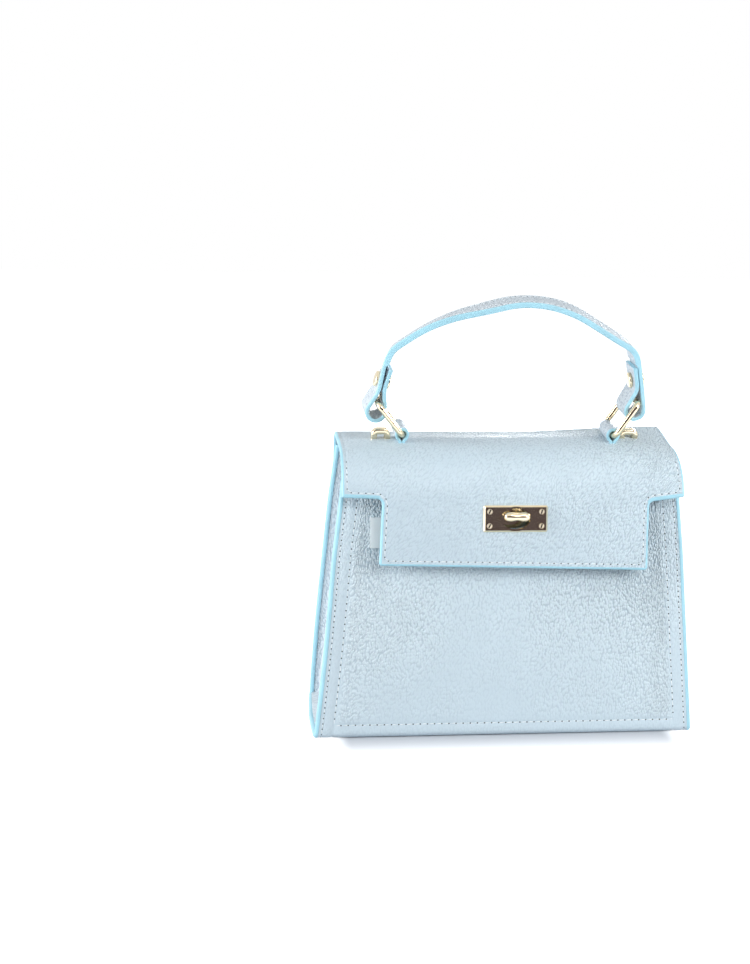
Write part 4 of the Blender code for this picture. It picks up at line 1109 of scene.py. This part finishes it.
lock_frame = facing(
    wall_point(LOCK_HEIGHT, 0), Vector((math.sin(WALL_TILT), math.cos(WALL_TILT))),
)
goat_suede = suede()
front_rows = [s for s in flap_track.stations(4 * MM) if MM < s < flap_split - MM]
columns = [k * 8 * MM for k in range(-12, 13)] + [99 * MM, -99 * MM]
flap_front = piece(
    "flap_tongue_and_wings", bend_flap(flat_slab(tongue_chain, front_rows, columns)),
    fine_calf, blue_paint, goat_suede,
)
rear_rows = [s for s in flap_track.stations(4 * MM) if flap_split + MM < s < flap_track.length - MM]
flap_rear = piece(
    "flap_rear", bend_flap(flat_slab(strip_chain, rear_rows, columns)),
    fine_calf, blue_paint, goat_suede,
)
fold_from = flap_track.at(front_fold[1])
fold_to = flap_track.at(front_fold[0])
rear_from = flap_track.at(back_fold[1])
rear_to = flap_track.at(back_fold[0])
front_bend = {"start": (0, *fold_from), "end": (0, *fold_to)}
rear_bend = {"start": (0, *rear_from), "end": (0, *rear_to)}
cut_out(flap_front, lock_cutter())
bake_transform(flap_front)
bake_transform(flap_rear)
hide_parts("flap_front_leather", "flap_front_lining", "flap_front_board")
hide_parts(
    "flap_back_strip", "flap_top_leather", "flap_top_lining", "flap_top_board",
)


def flap_spots(chain, low, high):
    """(point, outward) pairs along a chain of flat points, from one station to another."""
    found = []
    flat = Track(chain)
    for station in flat.stations(2 * MM):
        across, along = flat.at(station)
        if not low <= along <= high:
            continue
        point = on_flap(across, along, -FLAP_SEAM_DENT + swell(across, along))
        above = on_flap(across, along, MM)
        found.append((point, (above - point).normalized()))
    return found


row_top = 0.4 * front_fold[0] + 0.6 * front_fold[1]
for name, chain, low, high, bodies, bend in (
    ("flap_front_stitching", tongue_chain(FLAP_SEAM), 0, row_top,
     ("flap_top", "flap_front"), front_bend),
    ("flap_rear_stitching", strip_chain(FLAP_SEAM), back_fold[1], flap_track.length,
     ("bag", "flap_top"), rear_bend),
):
    bm = bmesh.new()
    sew(bm, stitch_line(flap_spots(chain, low, high), 4.4 * MM))
    row = piece(name, bm, linen, awl_hole)
    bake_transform(row)

# Lock
# Brass castings, polished and plated with pale gold. The plate with its oval rim is screwed to
# the tongue; the base with its collar and the two-lobed turning knob stay on the front panel.
KNOB_WIDTH = 16 * MM
KNOB_HEIGHT = 7.3 * MM
KNOB_LENGTH = 5.2 * MM
KNOB_RAISE = 1.7 * MM
KNOB_CLEARANCE = 0.5 * MM
KNOB_NECK_RADIUS = 2.6 * MM
KNOB_NECK_START = 5.3 * MM
PLATE_THICKNESS = 1.8 * MM
PLATE_FIT = 0.2 * MM
RIM_RISE = 0.6 * MM
SCREW_SLOT_WIDTH = 0.75 * MM
SCREW_SLOT_LENGTH = 2.7 * MM
SCREW_SLOT_SHEET = 0.1 * MM


def polished_metal(name, colour, tarnish, roughness):
    """Polished and plated brass: a near mirror, with the faint ripple of hand polishing and
    hairline scratches that soften it here and there."""
    made, tree = new_material(name)
    spot = add(tree, "TexCoord").outputs["Object"]
    cloud = add(tree, "TexNoise", {
        "Vector": spot, "Scale": 1 / (6 * MM), "Detail": 3,
    })
    hairlines = add(tree, "TexNoise", {
        "Vector": add(tree, "VectorMath", {
            0: spot, 1: (1, 1, 14),
        }, operation="MULTIPLY").outputs[0], "Scale": 1 / (5 * MM), "Detail": 4,
    })
    dull = add(tree, "MapRange", {
        "Value": hairlines.outputs[0], "From Min": 0.35, "From Max": 0.75,
        "To Min": roughness, "To Max": roughness + 0.1,
    })
    ripple = add(tree, "Bump", {
        "Strength": 0.25, "Distance": 0.05 * MM, "Height": cloud.outputs[0],
    })
    tint = add(tree, "Mix", {
        0: cloud.outputs[0], 6: paint(colour), 7: paint(tarnish),
    }, data_type="RGBA")
    shader = add(tree, "BsdfPrincipled", {
        "Base Color": tint.outputs[2], "Metallic": 1, "Roughness": dull.outputs[0],
        "Normal": ripple.outputs[0],
    })
    add(tree, "OutputMaterial", {"Surface": shader.outputs[0]})
    return made


pale_gold = polished_metal("pale gold plated brass", "#F0E4C8", "#E6D5B2", 0.07)
satin_gold = polished_metal("satin gold plated screws", "#FBF1DC", "#F1E2C4", 0.42)
zinc = polished_metal("zinc plated steel", "#C3C6C8", "#AEB2B6", 0.35)


def dress(material, *names):
    """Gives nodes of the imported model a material."""
    for name in names:
        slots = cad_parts[name].data.materials
        slots.clear()
        slots.append(material)


dress(pale_gold, "lock_plate", "lock_plate_backing", "lock_base")
dress(satin_gold, "plate_screw_1", "plate_screw_2", "plate_screw_3", "plate_screw_4")
dress(zinc, "lock_screw_left", "lock_screw_right", "lock_back_plate", "knob_washer")
# Painted shade: a near-black metal that stands for the shade inside the screws' driver slots.
painted_slot_shade = polished_metal("painted shade in the screw slots", "#4A3A2E", "#2E241E", 0.5)


# A thin dark sheet on each screw's face, at its own lean: painted shade of the driver slot.
bm = bmesh.new()
for k, lean in ((1, -24), (2, -15), (3, -28), (4, -19)):
    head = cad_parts["plate_screw_" + str(k)]
    spots = [lock_frame.inverted() @ head.matrix_world @ v.co for v in head.data.vertices]
    face = max(spot.z for spot in spots)
    middle = [(max(s[i] for s in spots) + min(s[i] for s in spots)) / 2 for i in (0, 1)]
    place = lock_frame @ Matrix.Translation((*middle, face))
    place = place @ Matrix.Rotation(math.radians(lean), 4, "Z")
    bmesh.ops.create_cube(bm, size=1, matrix=place @ Matrix.Diagonal((
        SCREW_SLOT_WIDTH, SCREW_SLOT_LENGTH, SCREW_SLOT_SHEET, 1)))
slots = piece("plate_screw_slot_shade", bm, painted_slot_shade)
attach(slots, "flap_front")


def knob_outline(width, height, steps=64):
    """Two round lobes side by side with a soft waist between them."""
    lobe = height / 2
    reach = width / 2 - lobe
    points = []
    for turn in around(steps):
        across = math.cos(turn)
        radius = lobe * (0.62 + 0.38 * abs(across) ** 0.6)
        points.append(Vector((
            math.copysign(reach * abs(across) ** 0.5, across) + lobe * across,
            radius * math.sin(turn))))
    return points


# The grip is round from 60 degrees below its waist up to its flat top
bm = bmesh.new()
grip_low = FLAP_STANDOFF + PLATE_FIT + PLATE_THICKNESS + RIM_RISE + KNOB_CLEARANCE
levels = []
for k in range(13):
    turn = math.radians(-60 + 150 * k / 12)
    shrink = (1 - math.cos(turn)) * KNOB_HEIGHT / 2
    levels.append((shrink, grip_low + KNOB_LENGTH * (math.sin(turn) + 0.866) / 1.866))
rings = []
for height in (KNOB_NECK_START, grip_low + 0.2 * MM):
    rings.append([bm.verts.new((
        KNOB_NECK_RADIUS * math.cos(t), KNOB_NECK_RADIUS * math.sin(t), height,
    )) for t in around(64)])
for shrink, height in levels:
    outline = knob_outline(
        max(KNOB_WIDTH - 2 * shrink, 9.5 * MM), max(KNOB_HEIGHT - 2 * shrink, 0.6 * MM))
    rings.append([bm.verts.new((p.x, p.y, height)) for p in outline])
skin(bm, rings)
bm.faces.new(rings[0])
bm.faces.new(rings[-1])
bm.transform(lock_frame @ Matrix.Translation((0, KNOB_RAISE, 0)))
knob = piece("turning_knob", bm, pale_gold)
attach(knob, "knob")
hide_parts("turn_knob")

# Ring tabs
# Two short loops of calf, rolled round the lower bar of each ring. Both ends go through a slit
# in the flap and are spread and stitched under it; the cut sides are painted.
TAB_SPACING = 131 * MM
TAB_LOOP_HEIGHT = 6.8 * MM
TAB_WIDTH = 19.6 * MM
TAB_LEATHER = 2 * MM
TAB_BORE_RADIUS = 2.3 * MM
TAB_NECK = 4.2 * MM
TAB_SAG = 1.15
TAB_FOOT = -1.5 * MM
STRAP_EDGE_RADIUS = 0.85 * MM
STRAP_ROW = 2.9 * MM
STRAP_DENT = 0.15 * MM
STRAP_DENT_WIDTH = 0.8 * MM


flap_top_frame = facing(top_start - top_run * top_start.x / top_run.x, top_run)


def strap_section(width, thickness):
    """A flat strap with round painted edges; thickness is a number or goes by station."""
    def section(station):
        thick = thickness(station) if callable(thickness) else thickness
        radius = STRAP_EDGE_RADIUS
        half = width / 2
        side = []
        for k in range(EDGE_STEPS + 1):
            turn = math.pi * (0.5 - k / EDGE_STEPS)
            middle = -radius if k < EDGE_STEPS / 2 else radius - thick
            if k == EDGE_STEPS / 2:
                side.append((half, -radius, 1))
            fill = 1 if k < EDGE_STEPS else 2
            side.append((
                half - radius + radius * math.cos(turn), middle + radius * math.sin(turn), fill,
            ))
        row = half - STRAP_ROW
        crown = [half - radius - 0.3 * MM, row + 0.9 * MM, row, row - 0.9 * MM, 0]
        face = [(across, strap_dent(width, across), 0) for across in crown]
        lining = [(across, -thick, 2) for across in (half / 2, 0)]
        left_face = [(-a, o, 0) for a, o, _ in face[:-1]]
        left_side = [(-a, o, 1) for a, o, _ in side]
        left_side[0] = (*left_side[0][:2], 0)
        left_under = [(-a, o, 2) for a, o, _ in lining[:1]]
        left_turn = [(a, o, 1) for a, o, _ in reversed(left_side)]
        left_turn[-1] = (*left_turn[-1][:2], 0)
        return (
            list(reversed(face)) + side + lining + left_under + left_turn + left_face
        )
    return section


def strap_dent(width, across):
    """The strap's face is drawn in along its two rows of stitches."""
    row = width / 2 - STRAP_ROW
    return -STRAP_DENT * math.exp(-(((abs(across) - row) / STRAP_DENT_WIDTH) ** 2))


# Lighter colour: painted highlight on the pebble tops; darker colour: painted crease shade.
tab_calf = pebbled(
    "tab and handle calf", "#DDE8F0", "#A0B0BE", (1.2 * MM, 1.8 * MM), 0.2, 0.36 * MM, 0.38, 0.9,
)
outer = TAB_BORE_RADIUS + TAB_LEATHER
neck = TAB_NECK / 2
start_turn = -math.acos(neck / outer)
loop = [Vector((neck, TAB_FOOT))]
for k in range(49):
    turn = start_turn + (math.pi - 2 * start_turn) * k / 48
    up = outer * math.sin(turn)
    loop.append(Vector((outer * math.cos(turn), TAB_LOOP_HEIGHT + up * (TAB_SAG if up < 0 else 1))))
loop.append(Vector((-neck, TAB_FOOT)))
for side, label in SIDES:
    spot = flap_top_frame @ Matrix.Translation((side * TAB_SPACING / 2, 0, 0))
    track = Track(loop, -1)

    def on_tab(station, across, out):
        p = track.at(station, out)
        return spot @ Vector((p.x, across, p.y))

    bm = sweep(track.stations(1 * MM), strap_section(TAB_WIDTH, TAB_LEATHER), on_tab, 1)
    tab = piece("ring_tab_" + label, bm, tab_calf, blue_paint, goat_suede)
    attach(tab, "flap_top")
    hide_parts("handle_tab_" + label)

# Rings
# Rounded rectangles of 3.6 mm brass wire, brazed shut, polished and gold plated. Each hangs in
# its tab and carries one end of the handle.
RING_WIRE_RADIUS = 1.8 * MM
RING_PITCH = 24.8 * MM
RING_SIDE_CLEARANCE = 0.9 * MM
RING_CORNER = 4 * MM
RING_LEAN = math.radians(35.2)
RING_ROCK = math.radians(3.2)
HANDLE_WIDTH = 20 * MM


def wire(points, radius, spin=28):
    """A closed round wire along flat (y, z) points."""
    bm = bmesh.new()
    loops = []
    for i, point in enumerate(points):
        along = (points[(i + 1) % len(points)] - points[i - 1]).normalized()
        side = Vector((-along.y, along.x))
        loops.append([bm.verts.new((
            radius * math.sin(math.tau * k / spin),
            *(point + side * radius * math.cos(math.tau * k / spin)),
        )) for k in range(spin)])
    skin(bm, loops[-1:] + loops)
    return bm


for side, label in SIDES:
    half = HANDLE_WIDTH / 2 + RING_SIDE_CLEARANCE + RING_WIRE_RADIUS
    corners = ((-half, 0), (half, 0), (half, RING_PITCH), (-half, RING_PITCH))
    bm = wire(rounded(corners, (RING_CORNER,) * 4, 12), RING_WIRE_RADIUS)
    spot = flap_top_frame @ Matrix.Translation((side * TAB_SPACING / 2, 0, TAB_LOOP_HEIGHT))
    bm.transform(spot @ Matrix.Rotation(side * RING_LEAN - RING_ROCK, 4, "Y"))
    ring = piece("handle_ring_" + label, bm, pale_gold)
    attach(ring, "ring_" + label)
    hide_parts("ring_" + label)

# Strap bridges
# A small cast bridge outside each tab for the hook of a shoulder strap. Its two pins go
# through the flap and are riveted over a backing plate.
LUG_SPACING = 155 * MM
LUG_LENGTH = 11.8 * MM
LUG_HEIGHT = 8.2 * MM
LUG_DEPTH = 5 * MM
LUG_BAR = 3.7 * MM
LUG_CORNER = 4 * MM
half = LUG_LENGTH / 2
bridge = [Vector(p) for p in rounded(
    ((half, -0.5 * MM), (half, LUG_HEIGHT), (-half, LUG_HEIGHT), (-half, -0.5 * MM)),
    (0, LUG_CORNER, LUG_CORNER, 0), 10)]


def bridge_section(station):
    points = rounded(
        ((LUG_DEPTH / 2, 0), (LUG_DEPTH / 2, -LUG_BAR), (-LUG_DEPTH / 2, -LUG_BAR),
         (-LUG_DEPTH / 2, 0)), (1.1 * MM,) * 4, 6)
    return [(p.x, p.y, 0) for p in points]


bridge_track = Track(bridge, -1)
for side, label in SIDES:
    spot = flap_top_frame @ Matrix.Translation((side * LUG_SPACING / 2, 0, 0))

    def on_bridge(station, across, out):
        p = bridge_track.at(station, out)
        return spot @ Vector((p.x, across, p.y))

    bm = sweep(bridge_track.stations(1.5 * MM), bridge_section, on_bridge)
    lug = piece("strap_bridge_" + label, bm, pale_gold)
    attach(lug, "flap_top")
    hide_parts("strap_lug_" + label)
dress(zinc, "lug_backing_left", "lug_backing_right")

# Handle
# One strap of two calf layers round a firm core, 20 mm wide, arched on a last while damp. Each
# end goes round its ring and back up inside the leg, where a screw post holds both plies.
HANDLE_RISE = 59.8 * MM
HANDLE_LEATHER = 2.4 * MM
HANDLE_INNER_LEATHER = 0.8 * MM
LEG_LEANS = {1: math.radians(11.2), -1: math.radians(17.2)}
LEG_LENGTH = 32 * MM
SHOULDER_RADIUS = 13 * MM
ARCH_CORNER_SHARES = ((0.374, 0.995), (0.024, 1.0), (-0.556, 0.814))
ARCH_REACH_SHARES = (0.2406, 0.093, 0.2263)
LOOP_BORE_RADIUS = 4.4 * MM
LOOP_DROP = 5.4 * MM
LOOP_TOP = 7 * MM
LOOP_OPENING = math.radians(20)
LOOP_LEANS = {1: math.radians(-11), -1: math.radians(12)}
TAIL_LENGTH = 22 * MM
PLY_GAP = 0.3 * MM
HANDLE_TWIST = math.radians(13)
RIGHT_TWIST_SHARE = 0.4
HANDLE_FILLING = 0.4 * MM
HANDLE_FILLING_REACH = 50 * MM
ARCH_START = 80 * MM
LEFT_ARCH_START = 58 * MM
HANDLE_SEAM_START = 68 * MM


def ring_top(side):
    """The middle of a ring's upper bar, in the flap top's own x and z."""
    lean = side * RING_LEAN - RING_ROCK
    return Vector((
        side * TAB_SPACING / 2 + RING_PITCH * math.sin(lean),
        TAB_LOOP_HEIGHT + RING_PITCH * math.cos(lean)))


ring_span = ring_top(1) - ring_top(-1)
handle_middle = ring_top(-1) + ring_span / 2
half_span = ring_span.length / 2
handle_across = ring_span.normalized()
handle_up = Vector((-handle_across.y, handle_across.x))


def handle_point(x, z):
    return handle_middle + handle_across * x + handle_up * z


def leg_point(side, along, out):
    """A point of a handle end, measured up from its ring's bar and out from the mid ply."""
    x, z = half_span, 0.0
    for lean, length, aside in (
        (LOOP_LEANS[side], min(along, LOOP_TOP), out if along <= LOOP_TOP else 0),
        (LEG_LEANS[side], max(along - LOOP_TOP, 0), out if along > LOOP_TOP else 0),
    ):
        x += aside * math.cos(lean) - length * math.sin(lean)
        z += aside * math.sin(lean) + length * math.cos(lean)
    return handle_point(side * x, z)


def handle_line():
    """The strap's good face: up the right tail's inside, round the ring and over the arch."""
    ply = HANDLE_LEATHER + PLY_GAP / 2
    arch = [leg_point(1, LOOP_TOP + PLY_GAP, 0), leg_point(1, LEG_LENGTH, 0)]
    arch += [handle_point(x * half_span, z * HANDLE_RISE) for x, z in ARCH_CORNER_SHARES]
    arch += [leg_point(-1, LEG_LENGTH, 0), leg_point(-1, LOOP_TOP + PLY_GAP, 0)]
    radii = [0, SHOULDER_RADIUS]
    for i, share in enumerate(ARCH_REACH_SHARES, start=2):
        turn = (arch[i] - arch[i - 1]).angle(arch[i + 1] - arch[i])
        radii.append(share * half_span / math.tan(turn / 2))
    radii += [SHOULDER_RADIUS, 0]
    middle = Track(rounded(arch, radii, 14), -1)
    over = [middle.at(s, ply) for s in middle.stations(20 * MM)]
    ends = {}
    for side in (1, -1):
        wide = LOOP_BORE_RADIUS + HANDLE_LEATHER
        points = [leg_point(side, TAIL_LENGTH, -ply), leg_point(side, LOOP_TOP + 2 * MM, -ply)]
        for k in range(33):
            angle = (math.pi + 2 * LOOP_OPENING) * k / 32 - LOOP_OPENING
            points.append(leg_point(
                side, -LOOP_DROP - wide * math.sin(angle), -wide * math.cos(angle)))
        ends[side] = points
    return ends[1], over, ends[-1][::-1]


def softened(points, rounds):
    """The line with its kinks eased, its two ends kept."""
    for _ in range(rounds):
        points = [points[0]] + [
            (a + b * 2 + c) / 4 for a, b, c in zip(points, points[1:], points[2:])
        ] + [points[-1]]
    return points


right_end, over, left_end = handle_line()
rough = Track(right_end + over + left_end, -1)
handle_points = softened([rough.at(s) for s in rough.stations(1.5 * MM)], 4)
handle_track = Track(handle_points, -1)


def handle_thickness(station):
    """One ply round the ring and beside the tail, and the whole strap over the arch."""
    arch_thick = HANDLE_LEATHER + PLY_GAP + HANDLE_INNER_LEATHER
    height = handle_track.at(station)
    share = 0.0
    for side in (1, -1):
        tip = leg_point(side, TAIL_LENGTH + 0.8 * MM, 0)
        up = leg_point(side, TAIL_LENGTH + 2.5 * MM, 0) - tip
        share += ease((height - tip).dot(up.normalized()) / up.length) / 2
    from_end = min(station, handle_track.length - station)
    arch_thick += HANDLE_FILLING * ease(-height.x / HANDLE_FILLING_REACH) * on_arch(station)
    return HANDLE_LEATHER + (arch_thick - HANDLE_LEATHER) * (
        ease(share * 2 - 1) if from_end > TAIL_LENGTH + 20 * MM else 0)


def on_arch(station):
    from_end = min(station, handle_track.length - station)
    left = handle_track.at(station).x < 0
    return ease((from_end - (LEFT_ARCH_START if left else ARCH_START)) / (24 * MM))


def on_handle(station, across, out):
    """A point of the strap, which has taken a twist: its face turns back on the left slope
    of the arch and forward on the right one."""
    along = handle_track.at(station).x
    share = RIGHT_TWIST_SHARE * ease(along / (40 * MM)) - ease((-along - 8 * MM) / (56 * MM))
    twist = HANDLE_TWIST * share * on_arch(station)
    core = -(HANDLE_LEATHER + HANDLE_INNER_LEATHER) / 2
    turned_out = core + across * math.sin(twist) + (out - core) * math.cos(twist)
    p = handle_track.at(station, turned_out)
    return flap_top_frame @ Vector((
        p.x, across * math.cos(twist) - (out - core) * math.sin(twist), p.y,
    ))


handle_stations = handle_track.stations(3 * MM)
bm = sweep(handle_stations, strap_section(HANDLE_WIDTH, handle_thickness), on_handle, 1)
handle = piece("arched_handle", bm, tab_calf, blue_paint, tab_calf)
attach(handle, "handle")
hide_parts("handle_strap", "handle_inner_layer")
bm = bmesh.new()
for side in (-1, 1):
    row = side * (HANDLE_WIDTH / 2 - STRAP_ROW)
    run = [HANDLE_SEAM_START + (handle_track.length - 2 * HANDLE_SEAM_START) * k / 200
           for k in range(201)]
    spots = []
    for station in run:
        point = on_handle(station, row, strap_dent(HANDLE_WIDTH, row))
        spots.append((point, (on_handle(station, row, MM) - point).normalized()))
    sew(bm, stitch_line(spots, 3.6 * MM), 0.3 * MM)
seam = piece("handle_stitching", bm, linen, awl_hole)
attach(seam, "handle")

# Handle screws
# A post from the outer side and a slotted cap from the inner side clamp both plies of each
# leg. They are turned from brass, polished and gold plated.
HANDLE_SCREW_HEIGHT = 12.5 * MM
SCREW_HEAD_RADIUS = 4.8 * MM
SCREW_HEAD = 2 * MM
SCREW_DOME = 0.9 * MM
SCREW_CROWN = 0.25 * MM
SCREW_ROUND = 1.1 * MM
BARREL_RADIUS = 2.5 * MM
CAP_SHAFT_RADIUS = 1.5 * MM
CAP_SLOT_WIDTH = 1 * MM
CAP_SLOT_DEPTH = 0.6 * MM


def turned(profile, spin=56):
    """A closed solid turned on a lathe from (radius, height) points on its axis."""
    bm = bmesh.new()
    points = [bm.verts.new((radius, 0, height)) for radius, height in profile]
    edges = [bm.edges.new(pair) for pair in zip(points, points[1:])]
    bmesh.ops.spin(bm, geom=points + edges, cent=(0, 0, 0), axis=(0, 0, 1),
                   angle=math.tau, steps=spin, use_merge=True)
    bmesh.ops.remove_doubles(bm, verts=bm.verts[:], dist=MM / 1000)
    return bm


face = PLY_GAP / 2 + HANDLE_LEATHER + 0.2 * MM
top = face + SCREW_HEAD
domed = [(SCREW_HEAD_RADIUS - 0.4 * MM, face), (SCREW_HEAD_RADIUS, face + 0.4 * MM)]
for k in range(9):
    turn = math.pi / 2 * k / 8
    domed.append((
        SCREW_HEAD_RADIUS - SCREW_ROUND + SCREW_ROUND * math.cos(turn),
        top - SCREW_DOME + SCREW_DOME * math.sin(turn)))
domed.append((0, top + SCREW_CROWN))
for side, label in SIDES:
    spot = leg_point(side, HANDLE_SCREW_HEIGHT, 0)
    outwards = leg_point(side, HANDLE_SCREW_HEIGHT, HANDLE_LEATHER) - spot
    turn = Matrix.Rotation(math.atan2(outwards.x, outwards.y), 4, "Y")
    place = flap_top_frame @ Matrix.Translation((spot.x, 0, spot.y)) @ turn
    for kind, flip, radius, start in (
        ("post", 1, BARREL_RADIUS, PLY_GAP - face), ("cap", -1, CAP_SHAFT_RADIUS, face - MM),
    ):
        to_leg = place @ Matrix.Diagonal((1, 1, flip, 1))
        bm = turned([(0, start), (radius, start), (radius, face)] + domed)
        bm.transform(to_leg)
        screw = piece("handle_" + kind + "_head_" + label, bm, pale_gold)
        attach(screw, "handle")
        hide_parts("handle_" + kind + "_" + label)
        if kind == "cap":
            slot = bmesh.new()
            bmesh.ops.create_cube(slot, size=1, matrix=Matrix.Diagonal((
                3 * SCREW_HEAD_RADIUS, CAP_SLOT_WIDTH, 2 * CAP_SLOT_DEPTH, 1)))
            slot.transform(Matrix.Translation((0, 0, top + SCREW_CROWN)))
            slot.transform(to_leg)
            cut_out(screw, piece("driver_slot", slot))

# Inside and tag
# The lining, the stiffening boards that it hides, and the blank paper-white tag that looks out
# from behind the tongue.

# Pressed leather fibres: speckled grey brown, matt and slightly rough
fibre_board = patterned(
    "pressed fibre board", ("#8F8578", "#B3A999"), 0.9, "TexNoise",
    {"Scale": 1 / (1.5 * MM), "Detail": 5}, (0.5, 0.1 * MM),
)
# Almost white, smooth, with a faint tooth
coated_card = patterned(
    "coated card", ("#F0FAFC", "#FBFFFF"), 0.5, "TexNoise",
    {"Scale": 1 / (0.8 * MM), "Detail": 3}, (0.3, 0.04 * MM),
)
dress(goat_suede, "body_lining")
dress(fibre_board, "front_board", "back_board", "base_board")
dress(coated_card, "blank_tag")
